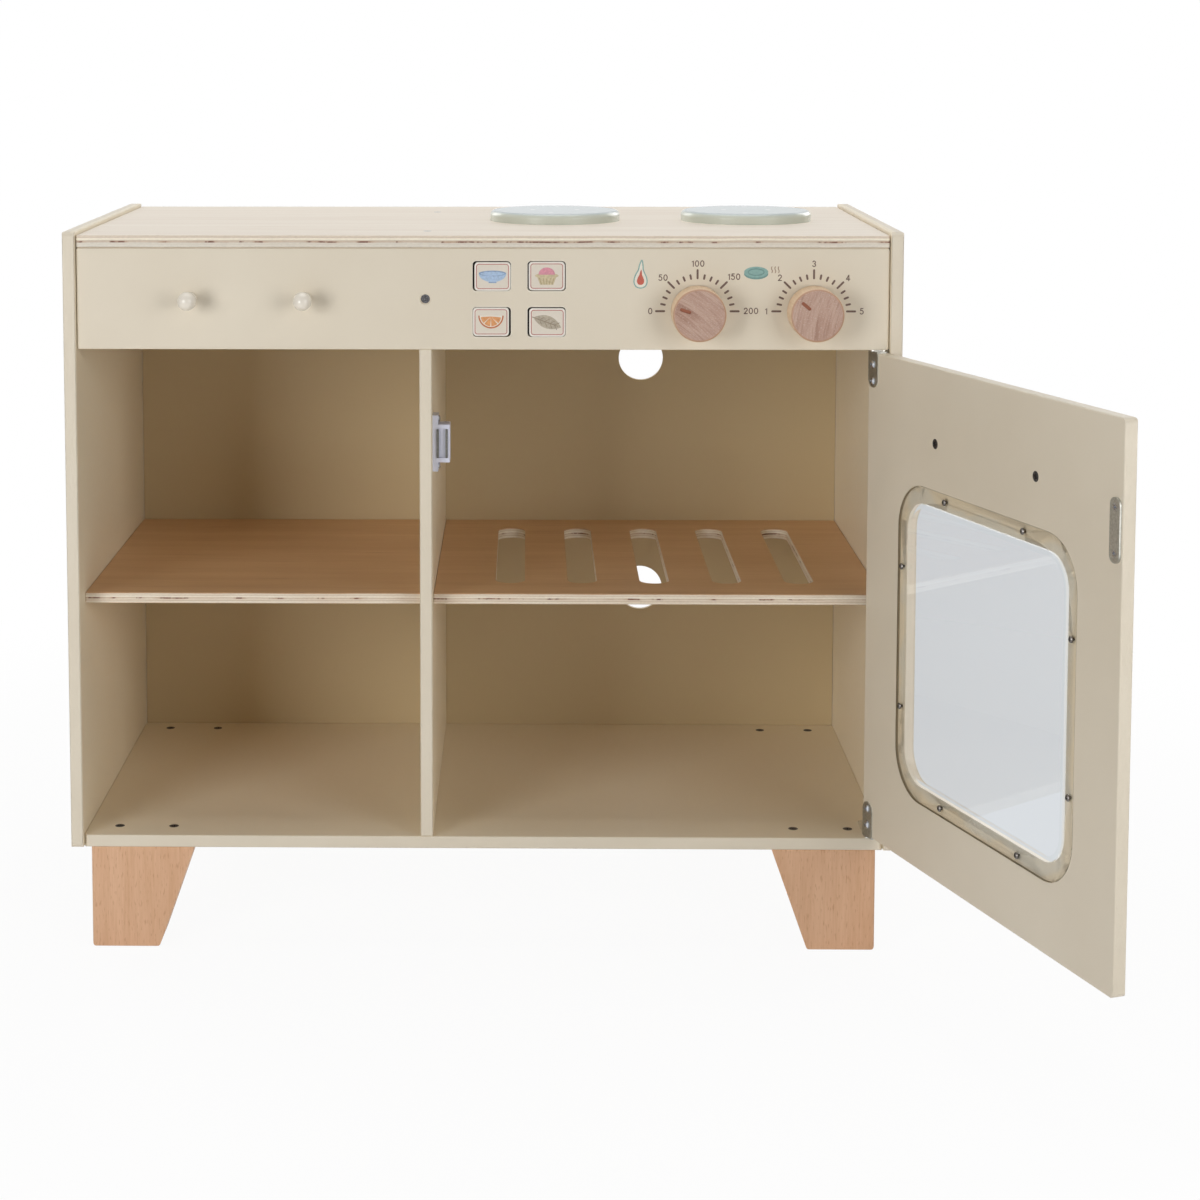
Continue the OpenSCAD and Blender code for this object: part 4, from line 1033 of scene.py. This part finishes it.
BUTTONS = (
    ("upper_left", bowl_picture, [blue_ink, deep_blue_ink]),
    ("upper_right", cup_cake_picture, [cup_ink, deep_cup_ink, pink_ink]),
    ("lower_left", orange_picture, [orange_ink, rind_ink, pale_ink]),
    ("lower_right", leaf_picture, [leaf_ink, deep_leaf_ink]),
)
for corner_name, picture, inks in BUTTONS:
    low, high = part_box("button_" + corner_name)
    dress(tile_white, "button_" + corner_name)
    new_piece(
        "button_print_" + corner_name,
        "press_button_" + corner_name,
        [field_ink, frame_ink, *inks],
        lambda bm: draw_tile(bm, low, high, picture),
    )

# The openings' front edges are eased by hand. A thin bright line round each is a painted highlight
# for the light their eased edges catch.
OPENING_EDGE_MM = 0.7
OPENING_MM = (27.3, 21.4)
OPENING_PITCH_MM = (39.2, 33.0)
OPENING_MID = (0.3266, 0.4779)


def draw_opening_edges(bm):
    """A thin raised line round each of the four openings: a painted highlight."""
    grow = OPENING_EDGE_MM + 0.1
    width, height = [size + grow for size in OPENING_MM]
    line = rounded_outline(width, height, TILE_CORNER_MM + grow / 2)
    for side in (-1, 1):
        for level in (-1, 1):
            x = unit_left + OPENING_MID[0] + side * OPENING_PITCH_MM[0] / 2000
            z = OPENING_MID[1] + level * OPENING_PITCH_MM[1] / 2000
            Sheet(bm, x, z, panel_face).pen(line, OPENING_EDGE_MM, 0, True, (0.06, -0.02))


eased_edge_highlight = print_ink("painted highlight on eased edge", 228, 220, 204, 0.35, 0.01)
new_piece("button_opening_edges", "carcass", [eased_edge_highlight], draw_opening_edges)


# Door hinges: zinc-plated leaves on the carcass and arms on the door, pressed
# from 0.8 mm strip, joined by rivets and held by small pan-head screws.
hinge_zinc = steel("dull zinc strip", linear(188, 188, 184), linear(160, 160, 154), 0.40)
bright_zinc = steel("bright zinc screws", linear(206, 210, 216), linear(176, 180, 188), 0.26)
leaf_zinc = steel("bright zinc strip", linear(220, 217, 210), linear(200, 197, 190), 0.30)
dress(leaf_zinc, "upper_hinge_leaf", "lower_hinge_leaf")
dress(hinge_zinc, "upper_hinge_arm", "lower_hinge_arm")
dress(bright_zinc, "hinge_leaf_screws", "hinge_rivets", "hinge_arm_screws")


# Catch: a white plastic housing screwed to the divider. The magnet is cased in
# the same plastic and lies between two dark steel pole plates.
white_plastic = moulded_plastic(
    "white plastic", linear(224, 226, 242), linear(216, 218, 234), 0.35
)
dress(white_plastic, "catch_housing", "catch_magnet")
pole_steel = steel("pole plate steel", linear(120, 118, 112), linear(84, 84, 82), 0.4)
dress(pole_steel, "catch_pole_plates")
dress(bright_zinc, "catch_screws")


# Door: a painted 9 mm panel with a rounded window opening, rebated on its inner
# face for the pane. Its edges were painted by roller and have a coarser peel.
DOOR_OPEN = math.radians(109.5)
HINGE_PIN = (0.5451, -0.0165, 0)
WINDOW_MID = (0.389, 0, 0.24415)
WINDOW_SIZE = (0.204, 0.199, 0.022)
PANE_SIZE = (0.228, 0.223, 0.034)
REBATE_STARTS = (-0.0125, -0.0135)
REBATE_ENDS = (-0.0205, -0.0195)
# The rebate's paler cream is painted light: it stands in for the light that the pane's rim reflects
# over the paint.
REBATE_PAINTED_LIGHT = linear(242, 232, 214)


def door_place(tree):
    """Where a point of the door is when the door is shut."""
    place = put(tree, "ShaderNodeTexCoord").outputs["Object"]
    values = {"Vector": place, "Center": HINGE_PIN, "Angle": -DOOR_OPEN}
    return put(tree, "ShaderNodeVectorRotate", values, rotation_type="Z_AXIS").outputs[0]


def flat_normal(tree):
    """The facet's own normal, before any smoothing."""
    return put(tree, "ShaderNodeNewGeometry").outputs["True Normal"]


def on_door_edge(tree):
    """1 on surfaces square to the door's faces."""
    normal = put(
        tree,
        "ShaderNodeVectorTransform",
        {0: flat_normal(tree)},
        vector_type="NORMAL",
        convert_from="WORLD",
        convert_to="OBJECT",
    ).outputs[0]
    values = {"Vector": normal, "Angle": -DOOR_OPEN}
    shut = put(tree, "ShaderNodeVectorRotate", values, rotation_type="Z_AXIS").outputs[0]
    squarely = calc(tree, "ABSOLUTE", put(tree, "ShaderNodeSeparateXYZ", {0: shut}).outputs["Y"])
    return ramp(tree, squarely, 0.6, 0.2)


def past_outline(tree, shut, size):
    """How far a point lies outside a window-shaped outline, in metres. size is
    the outline's width, height and corner radius."""
    width, height, radius = size
    values = {0: shut, 1: WINDOW_MID}
    across = put(tree, "ShaderNodeVectorMath", values, operation="SUBTRACT").outputs[0]
    parts = put(tree, "ShaderNodeSeparateXYZ", {0: across}).outputs
    squares = []
    for axis, half in (("X", width / 2), ("Z", height / 2)):
        over = calc(tree, "SUBTRACT", calc(tree, "ABSOLUTE", parts[axis]), half - radius)
        over = calc(tree, "MAXIMUM", over, 0.0)
        squares.append(calc(tree, "MULTIPLY", over, over))
    return calc(tree, "SUBTRACT", calc(tree, "SQRT", calc(tree, "ADD", *squares)), radius)


def door_paint():
    """The boards' paint, with the roller's peel on the door's four edges. The window's
    rebate and the opening's cut edge are painted paler: painted light that stands in
    for the light the pane's rim gives back."""
    finish, tree, shader = new_finish("satin cream paint on the door", SATIN)
    place = put(tree, "ShaderNodeTexCoord").outputs["Object"]
    shut = door_place(tree)
    depth = put(tree, "ShaderNodeSeparateXYZ", {0: shut}).outputs["Y"]
    sunk = calc(
        tree, "MULTIPLY", ramp(tree, depth, *REBATE_STARTS), ramp(tree, depth, *REBATE_ENDS)
    )
    # Painted light: the rebate and the opening's cut edge take the paler cream.
    within = ramp(tree, past_outline(tree, shut, PANE_SIZE), 0.0010, 0.0005)
    rebate = calc(tree, "MULTIPLY", sunk, within)
    tone = blend(tree, rebate, drifting(tree, CREAM, CREAM_DEEP), REBATE_PAINTED_LIGHT)
    tree.links.new(tone, shader.inputs["Base Color"])
    bump = relief(tree, shader, speckle(tree, place, 900, 2, 0.6), FINE_PEEL)
    coarse = speckle(tree, place, 260, 2, 0.5, (1, 1, 0.6))
    relief(tree, shader, calc(tree, "MULTIPLY", coarse, on_door_edge(tree)), 0.0007, bump)
    return finish


dress(door_paint(), "door_panel")


# Window: a 2 mm clear acrylic sheet in the door's rebate, held by eight small
# screws. Its rim lies close on the rebate's paint, wet in some patches.
PANE_MIDDLE = (0.98, 0.98, 0.98, 1)
RIM_DRY = (0.96, 0.94, 0.893, 1)
RIM_WET = (0.93, 0.935, 0.925, 1)
EDGE_SHADE = (0.50, 0.47, 0.42, 1)
PANE_CLEAR = (0.97, 0.97, 0.97, 1)
RIM_STEP = 0.0002
RIM_STRAIGHT = 0.85
RIM_UNDERCUT = 0.004
PANE_MID_DEPTH = -0.013


def acrylic_sheet():
    """Clear acrylic. Light for other pieces passes it in a straight line, and so
    does most of what shows through its rim."""
    finish, tree, shader = new_finish("clear acrylic", 0.02, IOR=1.45)
    shader.inputs["Transmission Weight"].default_value = 1.0
    tree.links.new(flat_normal(tree), shader.inputs["Normal"])
    shut = door_place(tree)
    over = past_outline(tree, shut, WINDOW_SIZE)
    wander = ramp(tree, speckle(tree, shut, 34, 2, 0.5), 0.3, 0.7, -0.005, 0.005)
    wet = ramp(tree, calc(tree, "ADD", over, wander), 0.0070, 0.0058)
    tint = blend(tree, wet, RIM_DRY, RIM_WET)
    depth = put(tree, "ShaderNodeSeparateXYZ", {0: shut}).outputs["Y"]
    behind = calc(tree, "LESS_THAN", depth, PANE_MID_DEPTH)
    reach = calc(tree, "ADD", over, calc(tree, "MULTIPLY", behind, RIM_UNDERCUT))
    rim = ramp(tree, reach, -RIM_STEP, RIM_STEP)
    tree.links.new(blend(tree, rim, PANE_MIDDLE, tint), shader.inputs["Base Color"])
    edge = on_door_edge(tree)
    through = blend(tree, edge, blend(tree, rim, PANE_CLEAR, tint), EDGE_SHADE)
    clear = put(tree, "ShaderNodeBsdfTransparent", {"Color": through})
    path = put(tree, "ShaderNodeLightPath").outputs
    straight = calc(tree, "MAXIMUM", path["Is Shadow Ray"], path["Is Diffuse Ray"])
    straight = calc(tree, "MAXIMUM", straight, edge)
    straight = calc(tree, "MAXIMUM", straight, calc(tree, "MULTIPLY", rim, RIM_STRAIGHT))
    values = {0: straight, 1: shader.outputs[0], 2: clear.outputs[0]}
    mixed = put(tree, "ShaderNodeMixShader", values)
    out = next(node for node in tree.nodes if node.type == "OUTPUT_MATERIAL")
    tree.links.new(mixed.outputs[0], out.inputs["Surface"])
    return finish


dress(acrylic_sheet(), "window_pane")
screw_steel = steel("small steel screws", linear(128, 124, 120), linear(96, 92, 88), 0.34)
dress(screw_steel, "pane_screws")


# Strike plate: a zinc-plated steel plate with round ends, held by two screws
# on the door's inner face near its free edge, where it meets the magnet.
strike_zinc = steel("brushed strike plate", linear(190, 190, 184), linear(164, 164, 157), 0.40)
dress(strike_zinc, "strike_plate")
dress(bright_zinc, "strike_screws")


# Handle: a beech bar on two posts, on the door's outer face. Two blackened
# screws through the door hold it.
HANDLE_TONES = (linear(214, 176, 142), linear(200, 158, 124), linear(176, 128, 96))
dress(solid_beech("handle beech", HANDLE_TONES, "X"), "door_handle")
